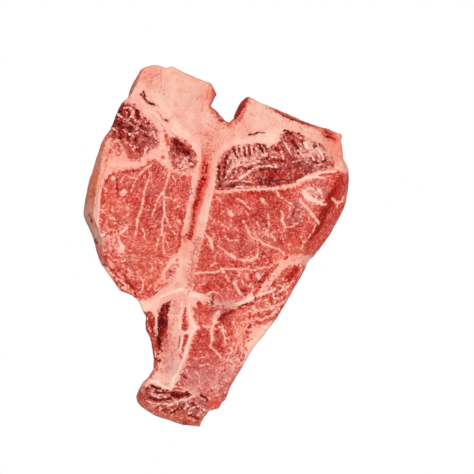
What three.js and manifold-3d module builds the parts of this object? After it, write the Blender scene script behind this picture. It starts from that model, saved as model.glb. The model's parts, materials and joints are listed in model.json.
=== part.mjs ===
// A raw T-bone steak, cut square across the loin and lying flat on its lower cut face.
//
// The whole steak is first made as one body: a wall lofted up the trimmed outline, closed by an
// upper cut face that is slightly crowned. Closed outlines then cut that body, from the upper face
// right through to the lower one, into the bone, the muscles and the fat that fills the rest.
//
// Millimetres. +X right, +Y towards the backbone end, +Z up, lower cut face on Z = 0.

import * as THREE from 'three';
import { mergeVertices } from 'three/addons/utils/BufferGeometryUtils.js';
import Module from 'manifold-3d';

const wasm = await Module();
wasm.setup();

// ---------------------------------------------------------------- driving dimensions

const STEAK_LENGTH = 219; // from the backbone edge to the tip of the tail
const THICKNESS = 22; // between the two cut faces, before the crown of the muscles
const PIECE_GAP = 0.3; // left between neighbouring pieces
const RIM_STEP = 4.2; // longest facet along the outer outline
const CUT_STEP = 4.6; // longest facet along the outlines inside the steak
const FACE_STEP = 5; // spacing of the points of the crowned upper face
const EXTRA = 6; // how far the cutting bodies reach past the steak

// The outlines are read off a view from straight above, in picture points, x to the right and
// y down. The steak is 365 points long in it, and the middle of its bounding box is the origin.
const PICTURE_LENGTH = 365;
const PICTURE_CENTRE = [216.2, 246.1];
const MM_PER_POINT = STEAK_LENGTH / PICTURE_LENGTH;

const COLOURS = {
  bone: '#f0b6a2',
  fat: '#f2b8a5',
  lean: '#d76a5c',
  darkLean: '#b9544a',
};
const ROUGHNESS = { bone: 0.55, fat: 0.5, lean: 0.45 };

// ---------------------------------------------------------------- outlines, in picture points

// The trimmed edge of the steak, clockwise from the corner of the vertebra.
const TRIMMED_EDGE = [
  [140, 68], [144, 65.8], [150, 64.2], [156, 63.6], [161, 65], [166, 66.8], [170.5, 64.8], [177, 67.5],
  [186, 72], [196, 76.5], [205, 79.5], [211, 82], [214, 87],
  // half of the spinal canal
  [217, 93.5], [214, 99.5], [210.8, 105.5], [213.5, 107.5], [217.5, 110.5], [221, 115], [225, 119.5],
  [229, 121], [232.5, 118.5], [235, 112], [237.5, 106], [241, 100.5], [244.5, 97.5], [248.3, 95],
  // the spinous process and the back corner
  [253, 97.5], [262, 101.8], [272, 105.8], [283, 110.8], [297, 117], [308, 121.5], [318, 125],
  [327, 127.3], [339, 132.5], [344, 133], [342, 140], [343.5, 150], [344.5, 158], [347.5, 163],
  // the long trimmed side of the strip loin
  [350, 169], [350, 178], [349, 190], [346.5, 203], [337.5, 223], [325, 243], [312.5, 258.5],
  [308, 263.5], [305, 271], [294, 290], [281, 313], [267, 332.5], [253.5, 349.5], [244, 365.5],
  [234, 382], [230, 389.5], [228, 396], [225.5, 400.5], [222, 404], [219, 410], [213, 411.3],
  // the tail
  [209, 412.5], [205, 418], [201.5, 423], [200, 428.5], [191, 427], [182, 426.3], [173, 423.5],
  [163, 420], [154, 417], [147, 412.5], [140, 408], [136, 402.5], [135, 397.5], [138, 390], [142, 383],
  // the inner side, from the end of the bone up to the tenderloin
  [148, 377], [152.5, 370], [153, 361], [151.5, 351], [150.3, 343], [148.3, 336.5], [145, 331],
  [144.2, 324], [145, 317], [142, 312], [139.5, 306], [136.5, 300.5], [131.5, 296.5], [125, 294],
  [119, 291.5], [115, 286], [110, 278.5], [100, 264.5], [97.3, 258], [92, 240], [87, 227],
  [84, 221], [82.3, 215.5], [83, 205], [86.3, 187], [93, 164.5], [97, 152], [100, 143], [103.5, 136],
  [109, 129], [113, 119], [117.5, 108], [121, 102], [127, 96], [129.2, 88], [133.5, 79.5], [137, 73],
];

// The bone: vertebral body, spinous process to the right, transverse process down the middle.
const BONE = [
  [158, 55], [190, 58], [216, 68], [226, 90], [222, 104], [228, 112], [232, 100], [240, 86], [260, 88],
  [300, 106], [336, 120], [342, 133], [339, 141], [331, 142], [320, 139.5], [310, 136], [300, 131.5],
  [286, 128], [275, 128.5], [262, 131.5], [250, 134.5], [237, 136], [228, 141], [221, 149],
  // down the right side of the transverse process
  [218.5, 157], [217, 166], [214.5, 186], [210, 205], [206, 225], [201, 245], [196, 263], [193, 281],
  [191.5, 291], [187, 301], [183, 312], [181, 325], [178, 345], [178.5, 355], [181, 362],
  // its rounded end, and back up the left side
  [179, 372], [174, 382], [168, 388.5], [161, 388.5], [155, 384], [152.5, 380], [157, 374],
  [159.5, 365], [162, 355], [165.5, 345], [167.5, 335], [168.5, 322], [170, 310], [173, 300],
  [178.5, 286], [182, 271], [183.5, 258], [182, 250], [181.3, 241], [182.5, 232], [186.5, 213],
  [190.5, 196], [191.3, 186], [192, 178], [196, 171], [200.5, 164], [202, 155], [201, 144],
  [198, 136], [190, 130], [180, 124], [170, 118], [163, 112], [157, 104.5], [150, 101],
  [145, 94], [142.5, 85], [150, 79], [158, 75], [162, 67],
];

// The muscles. An outline that reaches past the trimmed edge, or under the bone, is cut there.
const MUSCLES = {
  lean_tenderloin: {
    colour: COLOURS.lean,
    outline: [
      [112, 172.5], [120, 171], [138, 168.5], [144, 165], [150, 161], [156, 160], [162, 164],
      [169, 170.5], [176, 174], [184, 175.5], [197, 176], [196, 190], [190, 213], [186, 232], [184, 243],
      [178, 250.5], [174, 256.5], [169, 259.5], [163, 271], [156.5, 282], [154, 288], [154.5, 294],
      [151, 299], [146, 300], [139, 299], [134, 296.5], [131, 290], [121, 277], [108, 262.5],
      [104, 244], [99.3, 230], [99, 210], [103, 185], [107, 177],
    ],
  },
  lean_psoas_minor: {
    colour: COLOURS.darkLean,
    outline: [
      [112, 98], [124, 102], [131, 104.5], [139, 109], [143, 117], [151, 122], [157, 131], [158.5, 141],
      [157, 148.5], [150, 150], [144, 155], [139, 160], [132, 161], [127, 157], [124, 147], [119, 140],
      [110, 139], [103, 141], [92, 142], [98, 120],
    ],
  },
  lean_side_muscle: {
    colour: COLOURS.darkLean,
    outline: [
      [170.5, 138], [177, 136.5], [184, 140.5], [191, 145.5], [196, 154], [197.5, 162], [195, 167],
      [190, 170.5], [183, 171], [176, 169.5], [171, 167], [169.5, 158], [169.5, 147],
    ],
  },
  lean_multifidus: {
    colour: COLOURS.darkLean,
    outline: [
      [212, 189], [214, 178], [216, 165], [220, 157], [226, 152], [233, 148], [240, 146.5], [250, 144.5],
      [261, 143], [268, 147.5], [274, 145], [280.5, 141], [281, 135], [285.5, 131.5], [292, 131.5],
      [299, 134], [305, 138.5], [320, 144], [327.5, 148], [332, 153.5], [335.5, 161], [334, 168],
      [323, 170.5], [315, 172], [308, 174.5], [296, 181.5], [288, 184.5], [266, 188], [243, 188.5],
      [225, 190],
    ],
  },
  lean_strip_loin: {
    colour: COLOURS.lean,
    outline: [
      [209, 193.5], [223, 194], [245, 191], [270, 190.5], [291, 188.5], [299, 186], [306, 182],
      [314, 178.5], [330, 176.5], [337, 174], [343, 173.5], [352, 172], [362, 180], [362, 205],
      [345, 240], [330, 260], [308, 255], [290, 254.5], [283, 257], [276, 261], [270, 266.5],
      [259.5, 279], [251, 292], [245, 296.5], [239, 300], [231, 302], [221, 302.5], [213, 299.5],
      [209, 296], [203, 293], [192, 291], [190, 280], [196, 255], [202, 230], [206, 210],
    ],
  },
  lean_lower_strip: {
    colour: COLOURS.lean,
    outline: [
      [312, 272], [301, 264.5], [293, 265.5], [286, 268], [280, 271.5], [274, 277], [265, 290],
      [260, 296.5], [252, 302], [244, 306], [236, 308], [220, 307.5], [212, 305], [204, 303.5],
      [197.5, 304.5], [194, 309], [193.5, 316], [196, 322], [200, 327.5], [196.5, 332], [193, 340],
      [187, 360], [180, 377], [178, 384], [184, 386.5], [190, 387.5], [196, 391], [201, 395],
      [208, 397.5], [211, 401], [212, 407], [213, 418], [232, 414], [246, 384], [270, 350], [300, 305],
    ],
  },
  lean_tail: {
    colour: COLOURS.darkLean,
    outline: [
      [128, 384], [143, 386], [150, 386.5], [156, 390], [163, 391.5], [170, 390.5], [176, 389.5],
      [184, 391], [191, 392.5], [196, 396.5], [202, 399.5], [207.5, 402], [209, 408], [209.5, 416],
      [206, 436], [180, 436], [150, 426], [128, 412], [126, 395],
    ],
  },
  lean_chain_inner: {
    colour: COLOURS.darkLean,
    outline: [
      [171, 299], [173, 309], [171, 325], [168, 336], [163.5, 344], [160.5, 351], [158.5, 353.5],
      [157, 349], [157, 330], [157.5, 312], [160, 307], [164, 305],
    ],
  },
  lean_chain_outer: {
    colour: COLOURS.darkLean,
    outline: [
      [149, 311], [153, 312.5], [154.8, 317], [155, 334], [155.3, 344], [156.5, 352], [159, 358],
      [158, 366], [155, 371], [152, 378], [140, 374], [136, 330], [136, 314],
    ],
  },
};

// Fat that lies inside the outline of a muscle, at the trimmed edge of the strip loin.
const EDGE_FAT = [
  [250, 318], [256, 326], [262, 327], [270, 322], [290, 322], [268, 355], [248, 372], [240, 362],
  [243, 352], [242, 340], [243, 330], [246, 322],
];

// The rest is fat. Each body of it is named by a place inside it.
const FAT_BODIES = {
  fat_cover: [92, 200],
  fat_back: [250, 139.5],
  fat_seam: [290, 261],
};

// How far the rim of the upper face stands in from the outer outline, by stretches of the edge:
// a place on it, the length it fades over and the extra width of its slope, in millimetres.
const RIM_ROUNDING = 1.3;
const RIM_SLOPES = [
  { at: [349, 182], reach: 12, width: 4.5 }, // the trimmed side below the back corner
  { at: [342, 213], reach: 17, width: 7.5 },
  { at: [322, 246], reach: 15, width: 7.0 },
  { at: [84, 212], reach: 17, width: 5.2 }, // the rind along the tenderloin
  { at: [91, 176], reach: 16, width: 3.2 },
  { at: [94, 246], reach: 14, width: 3.6 },
  { at: [131, 84], reach: 9, width: 2.2 }, // beside the vertebra
  { at: [242, 104], reach: 6, width: 2.2 }, // the wall of the spinal canal
  { at: [297, 117], reach: 15, width: 1.2 }, // along the spinous process
  { at: [138, 404], reach: 9, width: 2.4 }, // the tail
  { at: [172, 423], reach: 18, width: 3.4 },
];

// The wall from the lower face up: height as a share of the thickness, share of the rim's inset,
// and the inset of the lower face's own edge.
const FOOT_ROUNDING = 1.6;
const WALL_LEVELS = [
  { height: 0, rim: 0, foot: 1 },
  { height: 0.09, rim: 0, foot: 0.25 },
  { height: 0.34, rim: 0, foot: 0 },
  { height: 0.72, rim: 0.42, foot: 0 },
  { height: 0.93, rim: 0.8, foot: 0 },
  { height: 1.05, rim: 1.15, foot: 0 },
];

// The crown and the hollows of the upper face: place, radius and height in millimetres.
const FACE_RELIEF = [
  { at: [270, 222], radius: 34, height: 0.9 }, // strip loin
  { at: [145, 225], radius: 28, height: 0.9 }, // tenderloin
  { at: [275, 163], radius: 18, height: 0.5 }, // multifidus
  { at: [240, 340], radius: 20, height: 0.5 },
  { at: [200, 110], radius: 30, height: 0.6 }, // the bone stands proud of the meat
  { at: [229, 314], radius: 8, height: -1.5 }, // hollow below the strip loin
  { at: [170, 425], radius: 22, height: -2.4 }, // the tail falls away
  { at: [130, 285], radius: 14, height: -1.4 }, // loose membrane under the tenderloin
  { at: [150, 340], radius: 12, height: -1.0 }, // the side muscles by the bone
];

// Narrow clefts in the upper face: the run of their middle line, width at the top and depth.
const CLEFT_FLOOR_SHARE = 0.25; // width at the bottom as a share of that at the face
const CLEFTS = [
  { run: [[141.5, 92.5], [144, 97], [147.5, 101]], width: 1.5, depth: 2.5 },
  { run: [[148.5, 102.5], [154, 105]], width: 1.1, depth: 2 },
  { run: [[158, 110.5], [161.5, 116.5]], width: 1.1, depth: 2 },
  { run: [[163, 119], [168, 121]], width: 1.0, depth: 1.6 },
  { run: [[149.5, 385], [156, 388.5], [163, 390.5]], width: 1.9, depth: 4 },
  { run: [[199.5, 396], [206, 399.5]], width: 1.9, depth: 3.5 },
  { run: [[210.5, 300.5], [212.5, 304.5]], width: 1.5, depth: 2.5 },
];

// ---------------------------------------------------------------- curves

function place([x, y]) {
  return new THREE.Vector2(
    (x - PICTURE_CENTRE[0]) * MM_PER_POINT,
    (PICTURE_CENTRE[1] - y) * MM_PER_POINT,
  );
}

// A closed smooth curve through the points, as a counter-clockwise ring with facets up to `step`.
function smoothRing(points, step) {
  const knots = points.map(place).map((p) => new THREE.Vector3(p.x, p.y, 0));
  const curve = new THREE.CatmullRomCurve3(knots, true, 'centripetal');
  const ring = [];
  knots.forEach((knot, i) => {
    const next = knots[(i + 1) % knots.length];
    const facets = Math.max(1, Math.round(knot.distanceTo(next) / step));
    for (let k = 0; k < facets; k += 1) {
      const p = curve.getPoint((i + k / facets) / knots.length);
      ring.push(new THREE.Vector2(p.x, p.y));
    }
  });
  return THREE.ShapeUtils.isClockWise(ring) ? ring.reverse() : ring;
}

// Outward unit normals of a counter-clockwise ring, from the neighbours `span` points away.
function ringNormals(ring, span) {
  const n = ring.length;
  return ring.map((_, i) => {
    const along = ring[(i + span) % n].clone().sub(ring[(i - span + n) % n]);
    return new THREE.Vector2(along.y, -along.x).normalize();
  });
}

function shiftRing(ring, normals, distance) {
  return ring.map((p, i) => p.clone().addScaledVector(normals[i], distance(p)));
}

// ---------------------------------------------------------------- bodies

function toManifold(geometry) {
  geometry.deleteAttribute('normal');
  geometry.deleteAttribute('uv');
  const merged = mergeVertices(geometry, 1e-4);
  return new wasm.Manifold(new wasm.Mesh({
    numProp: 3,
    vertProperties: Float32Array.from(merged.attributes.position.array),
    triVerts: Uint32Array.from(merged.index.array),
  }));
}

// A closed body through rings of equal length, each at its own height.
function loft(rings, heights) {
  const n = rings[0].length;
  const positions = rings.flatMap((ring, level) => ring.flatMap((p) => [p.x, p.y, heights[level]]));
  const index = [];
  for (let level = 0; level + 1 < rings.length; level += 1) {
    for (let i = 0; i < n; i += 1) {
      const a = level * n + i;
      const b = level * n + ((i + 1) % n);
      index.push(a, b, b + n, a, b + n, a + n);
    }
  }
  const top = (rings.length - 1) * n;
  for (const [a, b, c] of THREE.ShapeUtils.triangulateShape(rings[0], [])) index.push(a, c, b);
  for (const [a, b, c] of THREE.ShapeUtils.triangulateShape(rings[rings.length - 1], [])) {
    index.push(top + a, top + b, top + c);
  }
  const geometry = new THREE.BufferGeometry();
  geometry.setAttribute('position', new THREE.Float32BufferAttribute(positions, 3));
  geometry.setIndex(index);
  return toManifold(geometry);
}

// A straight cut through the whole thickness, optionally wider than the outline all round.
function through(ring, growth = 0) {
  const grown = growth ? shiftRing(ring, ringNormals(ring, 1), () => growth) : ring;
  return loft([grown, grown], [-EXTRA, THICKNESS + EXTRA]);
}

function faceRelief(x, y) {
  return FACE_RELIEF.reduce((sum, { at, radius, height }) => {
    const centre = place(at);
    const far = ((x - centre.x) ** 2 + (y - centre.y) ** 2) / radius ** 2;
    return sum + height * Math.exp(-far);
  }, 0);
}

// A block whose top is the crowned upper face, wider than the steak all round.
function crownedBlock(ring) {
  const box = new THREE.Box2().setFromPoints(ring).expandByScalar(EXTRA);
  const size = box.getSize(new THREE.Vector2());
  const centre = box.getCenter(new THREE.Vector2());
  const columns = Math.round(size.x / FACE_STEP);
  const rows = Math.round(size.y / FACE_STEP);
  const depth = THICKNESS + EXTRA;
  const block = new THREE.BoxGeometry(size.x, size.y, depth, columns, rows, 1);
  block.translate(centre.x, centre.y, THICKNESS - depth / 2);
  const position = block.attributes.position;
  for (let i = 0; i < position.count; i += 1) {
    if (position.getZ(i) > 0) {
      position.setZ(i, THICKNESS + faceRelief(position.getX(i), position.getY(i)));
    }
  }
  return toManifold(block);
}

function rimInset(p) {
  return RIM_SLOPES.reduce((sum, { at, reach, width }) => {
    const far = p.distanceTo(place(at)) / reach;
    return sum + width * Math.exp(-(far ** 2));
  }, RIM_ROUNDING);
}

function wholeSteak() {
  const ring = smoothRing(TRIMMED_EDGE, RIM_STEP);
  const normals = ringNormals(ring, 2);
  const rings = WALL_LEVELS.map(({ rim, foot }) => (
    shiftRing(ring, normals, (p) => -(rim * rimInset(p) + foot * FOOT_ROUNDING))
  ));
  const heights = WALL_LEVELS.map(({ height }) => height * THICKNESS);
  heights[heights.length - 1] = THICKNESS + EXTRA;
  return loft(rings, heights).intersect(crownedBlock(ring));
}

// A cleft is a wedge along its run, as wide as stated at the face and narrow at its depth.
function cleft({ run, width, depth }) {
  const line = run.map(place);
  const normals = line.map((_, i) => {
    const along = line[Math.min(i + 1, line.length - 1)].clone().sub(line[Math.max(i - 1, 0)]);
    return new THREE.Vector2(along.y, -along.x).normalize();
  });
  const sides = (half) => [
    ...line.map((p, i) => p.clone().addScaledVector(normals[i], half)),
    ...line.map((p, i) => p.clone().addScaledVector(normals[i], -half)).reverse(),
  ];
  const low = sides((width * CLEFT_FLOOR_SHARE) / 2);
  const high = sides(width / 2);
  const rings = THREE.ShapeUtils.isClockWise(high) ? [low.reverse(), high.reverse()] : [low, high];
  return loft([...rings, rings[1]], [THICKNESS - depth, THICKNESS, THICKNESS + EXTRA]);
}

// The main body of a cut piece, without any scrap that the cut leaves beside it.
function largest(body) {
  return body.decompose().sort((a, b) => b.volume() - a.volume())[0];
}

// The body, out of several, that the given place at mid-thickness lies in.
function bodyAt(bodies, at) {
  const { x, y } = place(at);
  const probe = toManifold(
    new THREE.BoxGeometry(PIECE_GAP, PIECE_GAP, PIECE_GAP).translate(x, y, THICKNESS / 2),
  );
  return bodies.find((body) => body.intersect(probe).volume() > 0);
}

// ---------------------------------------------------------------- the pieces

function namedMesh(name, body, colour, roughness) {
  const { vertProperties, triVerts } = body.getMesh();
  const geometry = new THREE.BufferGeometry();
  geometry.setAttribute('position', new THREE.Float32BufferAttribute(Array.from(vertProperties), 3));
  geometry.setIndex(Array.from(triVerts));
  geometry.computeVertexNormals();
  const mesh = new THREE.Mesh(
    geometry,
    new THREE.MeshStandardMaterial({ color: colour, roughness, metalness: 0 }),
  );
  mesh.name = name;
  return mesh;
}

function buildSteak() {
  const steak = CLEFTS.reduce((body, each) => body.subtract(cleft(each)), wholeSteak());
  const group = new THREE.Group();
  group.name = 't_bone_steak';

  const boneRing = smoothRing(BONE, CUT_STEP);
  const bone = largest(steak.intersect(through(boneRing)));
  group.add(namedMesh('bone', bone, COLOURS.bone, ROUGHNESS.bone));

  // What each later piece leaves free: the bone and its gap, then each muscle and its gap.
  let rest = steak.subtract(through(boneRing, PIECE_GAP));
  const edgeRing = smoothRing(EDGE_FAT, CUT_STEP);
  const edgeFat = largest(rest.intersect(through(edgeRing)));
  group.add(namedMesh('fat_edge', edgeFat, COLOURS.fat, ROUGHNESS.fat));
  rest = rest.subtract(through(edgeRing, PIECE_GAP));

  for (const [name, { colour, outline }] of Object.entries(MUSCLES)) {
    const ring = smoothRing(outline, CUT_STEP);
    const muscle = largest(rest.intersect(through(ring)));
    group.add(namedMesh(name, muscle, colour, ROUGHNESS.lean));
    rest = rest.subtract(through(ring, PIECE_GAP));
  }

  const fatBodies = rest.decompose();
  for (const [name, at] of Object.entries(FAT_BODIES)) {
    group.add(namedMesh(name, bodyAt(fatBodies, at), COLOURS.fat, ROUGHNESS.fat));
  }
  return group;
}

export default buildSteak();
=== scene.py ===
# %% [markdown]
# # A raw T-bone steak
# The steak lies flat on its lower cut face and is seen from straight above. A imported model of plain
# solids gives every piece its place: the T-shaped bone, nine muscles and four bodies of fat.
# This script dresses those solids. Lengths are in millimetres while shapes are worked out, because
# that is how a butcher would measure them, and they become metres when a mesh is made.
# Each section says what a thing is on a real steak, how it could be made and why one way was taken.

# %% Load the frame
import json
import math

import bpy
import numpy as np
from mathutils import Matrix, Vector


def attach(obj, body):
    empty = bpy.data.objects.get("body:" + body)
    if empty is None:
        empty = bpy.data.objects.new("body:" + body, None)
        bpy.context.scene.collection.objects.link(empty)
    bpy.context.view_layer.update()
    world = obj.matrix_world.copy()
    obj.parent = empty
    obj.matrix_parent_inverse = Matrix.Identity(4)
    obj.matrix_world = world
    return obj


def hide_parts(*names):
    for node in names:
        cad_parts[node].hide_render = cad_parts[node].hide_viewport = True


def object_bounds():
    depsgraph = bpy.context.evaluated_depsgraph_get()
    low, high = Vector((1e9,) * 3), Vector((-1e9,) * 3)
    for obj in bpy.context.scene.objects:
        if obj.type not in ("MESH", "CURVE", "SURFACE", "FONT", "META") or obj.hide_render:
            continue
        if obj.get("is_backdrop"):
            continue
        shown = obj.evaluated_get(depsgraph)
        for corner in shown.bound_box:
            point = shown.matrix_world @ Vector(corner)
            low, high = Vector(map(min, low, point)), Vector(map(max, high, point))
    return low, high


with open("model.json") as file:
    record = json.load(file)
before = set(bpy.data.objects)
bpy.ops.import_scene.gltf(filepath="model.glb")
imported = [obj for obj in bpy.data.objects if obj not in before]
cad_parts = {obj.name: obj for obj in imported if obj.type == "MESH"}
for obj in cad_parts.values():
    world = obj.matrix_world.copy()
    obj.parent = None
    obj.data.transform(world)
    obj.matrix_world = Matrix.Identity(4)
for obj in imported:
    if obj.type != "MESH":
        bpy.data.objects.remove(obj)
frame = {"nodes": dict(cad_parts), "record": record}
CAD_LOW, CAD_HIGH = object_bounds()
MM = 0.001
print("CAD box in mm:", [round(c / MM, 1) for c in CAD_LOW], [round(c / MM, 1) for c in CAD_HIGH])

# %% [markdown]
# ## Places on the steak
# What lies where was read off a view from above, in picture points with y down. The steak is
# 365 points long in it. One function turns such a place into millimetres, so the veins and stains
# below can be written as short lists of places.

# %% Picture points to millimetres
PICTURE_LENGTH = 365
PICTURE_CENTRE = np.array([216.2, 246.1])
STEAK_LENGTH = (CAD_HIGH.y - CAD_LOW.y) / MM
THICKNESS = 22.0
POINT = STEAK_LENGTH / PICTURE_LENGTH


def place(points):
    """Picture points to millimetres, x to the right and y towards the backbone edge."""
    points = np.asarray(points, float)
    return (points - PICTURE_CENTRE) * [POINT, -POINT]


print("one picture point is", round(POINT, 3), "mm")

# %% [markdown]
# ## Outlines of the pieces
# Every solid of the frame runs straight down, so one level slice gives its outline. Slicing the
# triangles of each solid at one height leaves short segments, and those are all that is needed:
# the distance to the nearest segment says how far a point is from the outline, and the number of
# segments crossed on the way to the right says whether it is inside.

# %% Slice each solid at its widest level
WIDEST = 0.34 * THICKNESS
SLICE_HEIGHT = WIDEST - 0.1


def slice_solid(solid, height):
    """Segments (start, end) in mm where the triangles of a solid cross a level plane."""
    mesh = solid.data
    mesh.calc_loop_triangles()
    co = np.zeros(len(mesh.vertices) * 3)
    mesh.vertices.foreach_get("co", co)
    co = co.reshape(-1, 3) / MM
    tris = np.zeros(len(mesh.loop_triangles) * 3, int)
    mesh.loop_triangles.foreach_get("vertices", tris)
    corners = co[tris.reshape(-1, 3)]
    above = corners[:, :, 2] > height
    crossing = corners[(above.sum(1) == 1) | (above.sum(1) == 2)]
    above = crossing[:, :, 2] > height
    lone = np.where(above.sum(1) == 1, above.argmax(1), (~above).argmax(1))
    rows = np.arange(len(crossing))
    tip = crossing[rows, lone]
    ends = []
    for step in (1, 2):
        other = crossing[rows, (lone + step) % 3]
        share = (height - tip[:, 2]) / (other[:, 2] - tip[:, 2])
        ends.append(tip[:, :2] + share[:, None] * (other - tip)[:, :2])
    segments = np.stack(ends, 1)
    length = np.linalg.norm(segments[:, 1] - segments[:, 0], axis=1)
    return segments[length > 1e-4]


NAMES = sorted(frame["nodes"])
OUTLINES = {name: slice_solid(frame["nodes"][name], SLICE_HEIGHT) for name in NAMES}
print({name: len(cut) for name, cut in OUTLINES.items()})


# %% Distance from points to segments
CHUNK = 2000  # points measured at a time, so that the tables stay small
NUDGE = 0.05


def nearest_on(segments, points):
    """For each point, the distance to the nearest segment and the place on it."""
    start = segments[:, 0]
    along = segments[:, 1] - start
    length2 = (along**2).sum(1)
    best = np.full(len(points), np.inf)
    spot = np.zeros((len(points), 2))
    for a in range(0, len(points), CHUNK):
        part = points[a : a + CHUNK, None]
        share = ((part - start) * along).sum(2) / length2
        foot = start + np.clip(share, 0, 1)[:, :, None] * along
        far2 = ((part - foot) ** 2).sum(2)
        near = far2.argmin(1)
        rows = np.arange(len(near))
        best[a : a + CHUNK] = np.sqrt(far2[rows, near])
        spot[a : a + CHUNK] = foot[rows, near]
    return best, spot


def nearest_within(segments, points, reach):
    """The same for a limited reach in mm, much quicker: farther points keep the reach itself."""
    best = np.full(len(points), float(reach))
    spot = points.copy()
    order = np.argsort(points[:, 1])
    rows = points[order, 1]
    for start, end in segments:
        low = np.minimum(start, end) - reach
        high = np.maximum(start, end) + reach
        near = order[np.searchsorted(rows, low[1]) : np.searchsorted(rows, high[1])]
        near = near[(points[near, 0] > low[0]) & (points[near, 0] < high[0])]
        along = end - start
        share = np.clip((points[near] - start) @ along / (along @ along), 0, 1)
        foot = start + share[:, None] * along
        far = np.linalg.norm(points[near] - foot, axis=1)
        closer = far < best[near]
        best[near[closer]] = far[closer]
        spot[near[closer]] = foot[closer]
    return best, spot


def is_inside(segments, points):
    """Whether each point is inside the closed outline that the segments form."""
    x0, y0 = segments[:, 0].T
    x1, y1 = segments[:, 1].T
    inside = np.zeros(len(points), bool)
    for a in range(0, len(points), CHUNK):
        px = points[a : a + CHUNK, 0, None]
        py = points[a : a + CHUNK, 1, None]
        straddles = (y0 > py) != (y1 > py)
        rise = np.where(np.abs(y1 - y0) < 1e-12, 1e-12, y1 - y0)
        crosses = straddles & (x0 + (py - y0) / rise * (x1 - x0) > px)
        inside[a : a + CHUNK] = crosses.sum(1) % 2 == 1
    return inside


def signed_distance(segments, points):
    """Distance to an outline, negative inside it, and its gradient."""
    far, spot = nearest_on(segments, points)
    side = np.where(is_inside(segments, points), -1.0, 1.0)
    gradient = (points - spot) * (side / np.maximum(far, 1e-9))[:, None]
    return far * side, gradient


notch_far, _ = signed_distance(OUTLINES["bone"], place([(230, 100)]))
print("the middle of the notch is", notch_far.round(1), "mm from the bone")


# %% [markdown]
# ## The trimmed edge
# The outer edge of the whole steak is made of those segments that face no other piece. A point a
# little outside each segment is tested: if it lies inside a neighbour, the segment is an inner one.
# Where three pieces meet, that point can fall into the gap between them, so a ring of points round
# the segment is tested as well: nearly all of them lie in some piece there.

# %% Find the outer segments
PROBE = 0.55
RING_RADIUS = 1.5
RING_COUNT = 24
MOSTLY = 0.8


def outward(segments, inside_of):
    """Unit vectors that point away from the piece that the segments bound."""
    along = segments[:, 1] - segments[:, 0]
    normal = np.stack([along[:, 1], -along[:, 0]], 1)
    normal /= np.linalg.norm(normal, axis=1)[:, None]
    middle = segments.mean(1)
    wrong = is_inside(inside_of, middle + normal * NUDGE)
    normal[wrong] *= -1
    return normal


def outer_segments():
    """The segments of all outlines that face no other piece."""
    found = []
    for name, segments in OUTLINES.items():
        probes = segments.mean(1) + outward(segments, segments) * PROBE
        hidden = np.zeros(len(segments), bool)
        for other, cut in OUTLINES.items():
            if other != name:
                hidden |= is_inside(cut, probes)
        found.append(segments[~hidden])
    found = np.concatenate(found)
    covered = np.zeros(len(found))
    for turn in np.linspace(0, 2 * math.pi, RING_COUNT, endpoint=False):
        ring = found.mean(1) + RING_RADIUS * np.array([math.cos(turn), math.sin(turn)])
        covered += np.any([is_inside(cut, ring) for cut in OUTLINES.values()], axis=0)
    return found[covered / RING_COUNT < MOSTLY]


EDGE = outer_segments()
EDGE_LENGTH = np.linalg.norm(EDGE[:, 1] - EDGE[:, 0], axis=1).sum()
print("outer edge:", len(EDGE), "segments,", round(EDGE_LENGTH), "mm round")

# %% [markdown]
# ## One net of triangles for the whole steak
# If each piece were meshed by itself, hairline cracks would show between them. So one even net of
# triangles is laid over the steak, each triangle is given to the piece it lies on, and the points
# on the border between two pieces are moved onto the middle of the gap. Neighbours then share
# their border points exactly.

# %% Lay the net
NET_STEP = 0.55
BOX_MARGIN = 2.0


def lay_net(step):
    """Rows of points, every second one shifted by half a step, and the triangles between them."""
    low = np.array([CAD_LOW.x, CAD_LOW.y]) / MM - BOX_MARGIN
    high = np.array([CAD_HIGH.x, CAD_HIGH.y]) / MM + BOX_MARGIN
    columns = int((high[0] - low[0]) / step) + 2
    rows = int((high[1] - low[1]) / (step * math.sqrt(3) / 2)) + 2
    row, column = np.mgrid[0:rows, 0:columns]
    x = low[0] + step * (column + 0.5 * (row % 2))
    y = low[1] + step * math.sqrt(3) / 2 * row
    points = np.stack([x, y], 2).reshape(-1, 2)
    index = np.arange(rows * columns).reshape(rows, columns)
    a, b = index[:-1, :-1], index[:-1, 1:]
    c, d = index[1:, :-1], index[1:, 1:]
    even = (row[:-1, :-1] % 2 == 0)
    first = np.where(even[..., None], np.stack([a, b, c], 2), np.stack([a, b, d], 2))
    second = np.where(even[..., None], np.stack([b, d, c], 2), np.stack([a, d, c], 2))
    return points, np.concatenate([first.reshape(-1, 3), second.reshape(-1, 3)])


net, triangles = lay_net(NET_STEP)
print("net:", len(net), "points,", len(triangles), "triangles")


# %% Which piece each point is nearest to
FAR = 9.0
BOX_REACH = 2.5
WIDEST_GAP = 1.0


def distances_to_pieces(points):
    """Signed distance of each point to each piece, a column for each; large where far away."""
    table = np.full((len(points), len(NAMES)), FAR)
    for column, name in enumerate(NAMES):
        segments = OUTLINES[name]
        low = segments.min((0, 1)) - BOX_REACH
        high = segments.max((0, 1)) + BOX_REACH
        near = np.flatnonzero(((points > low) & (points < high)).all(1))
        far, _ = nearest_within(segments, points[near], FAR)
        table[near, column] = np.where(is_inside(segments, points[near]), -far, far)
    return table


def nearest_piece(points):
    """The piece of each point, -1 outside the steak, and how deep the point lies in it."""
    table = distances_to_pieces(points)
    owner = table.argmin(1)
    owner[table.min(1) > WIDEST_GAP] = -1
    return owner, -table.min(1)


print("in the middle of the picture lies", NAMES[nearest_piece(place([(237, 237)]))[0][0]])


# %% [markdown]
# Exact distances for every fine triangle would take long. A coarse net with points 1.5 mm apart is
# measured first, and only the fine triangles within reach of a border are measured again.

# %% Give each triangle to a piece
FOOT = 1.6
THIN_PLACES = [  # x, y in picture points, radius in mm, change of the foot there in mm
    (150, 352, 20, -0.9), (206, 400, 6, -0.7),
]


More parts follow.
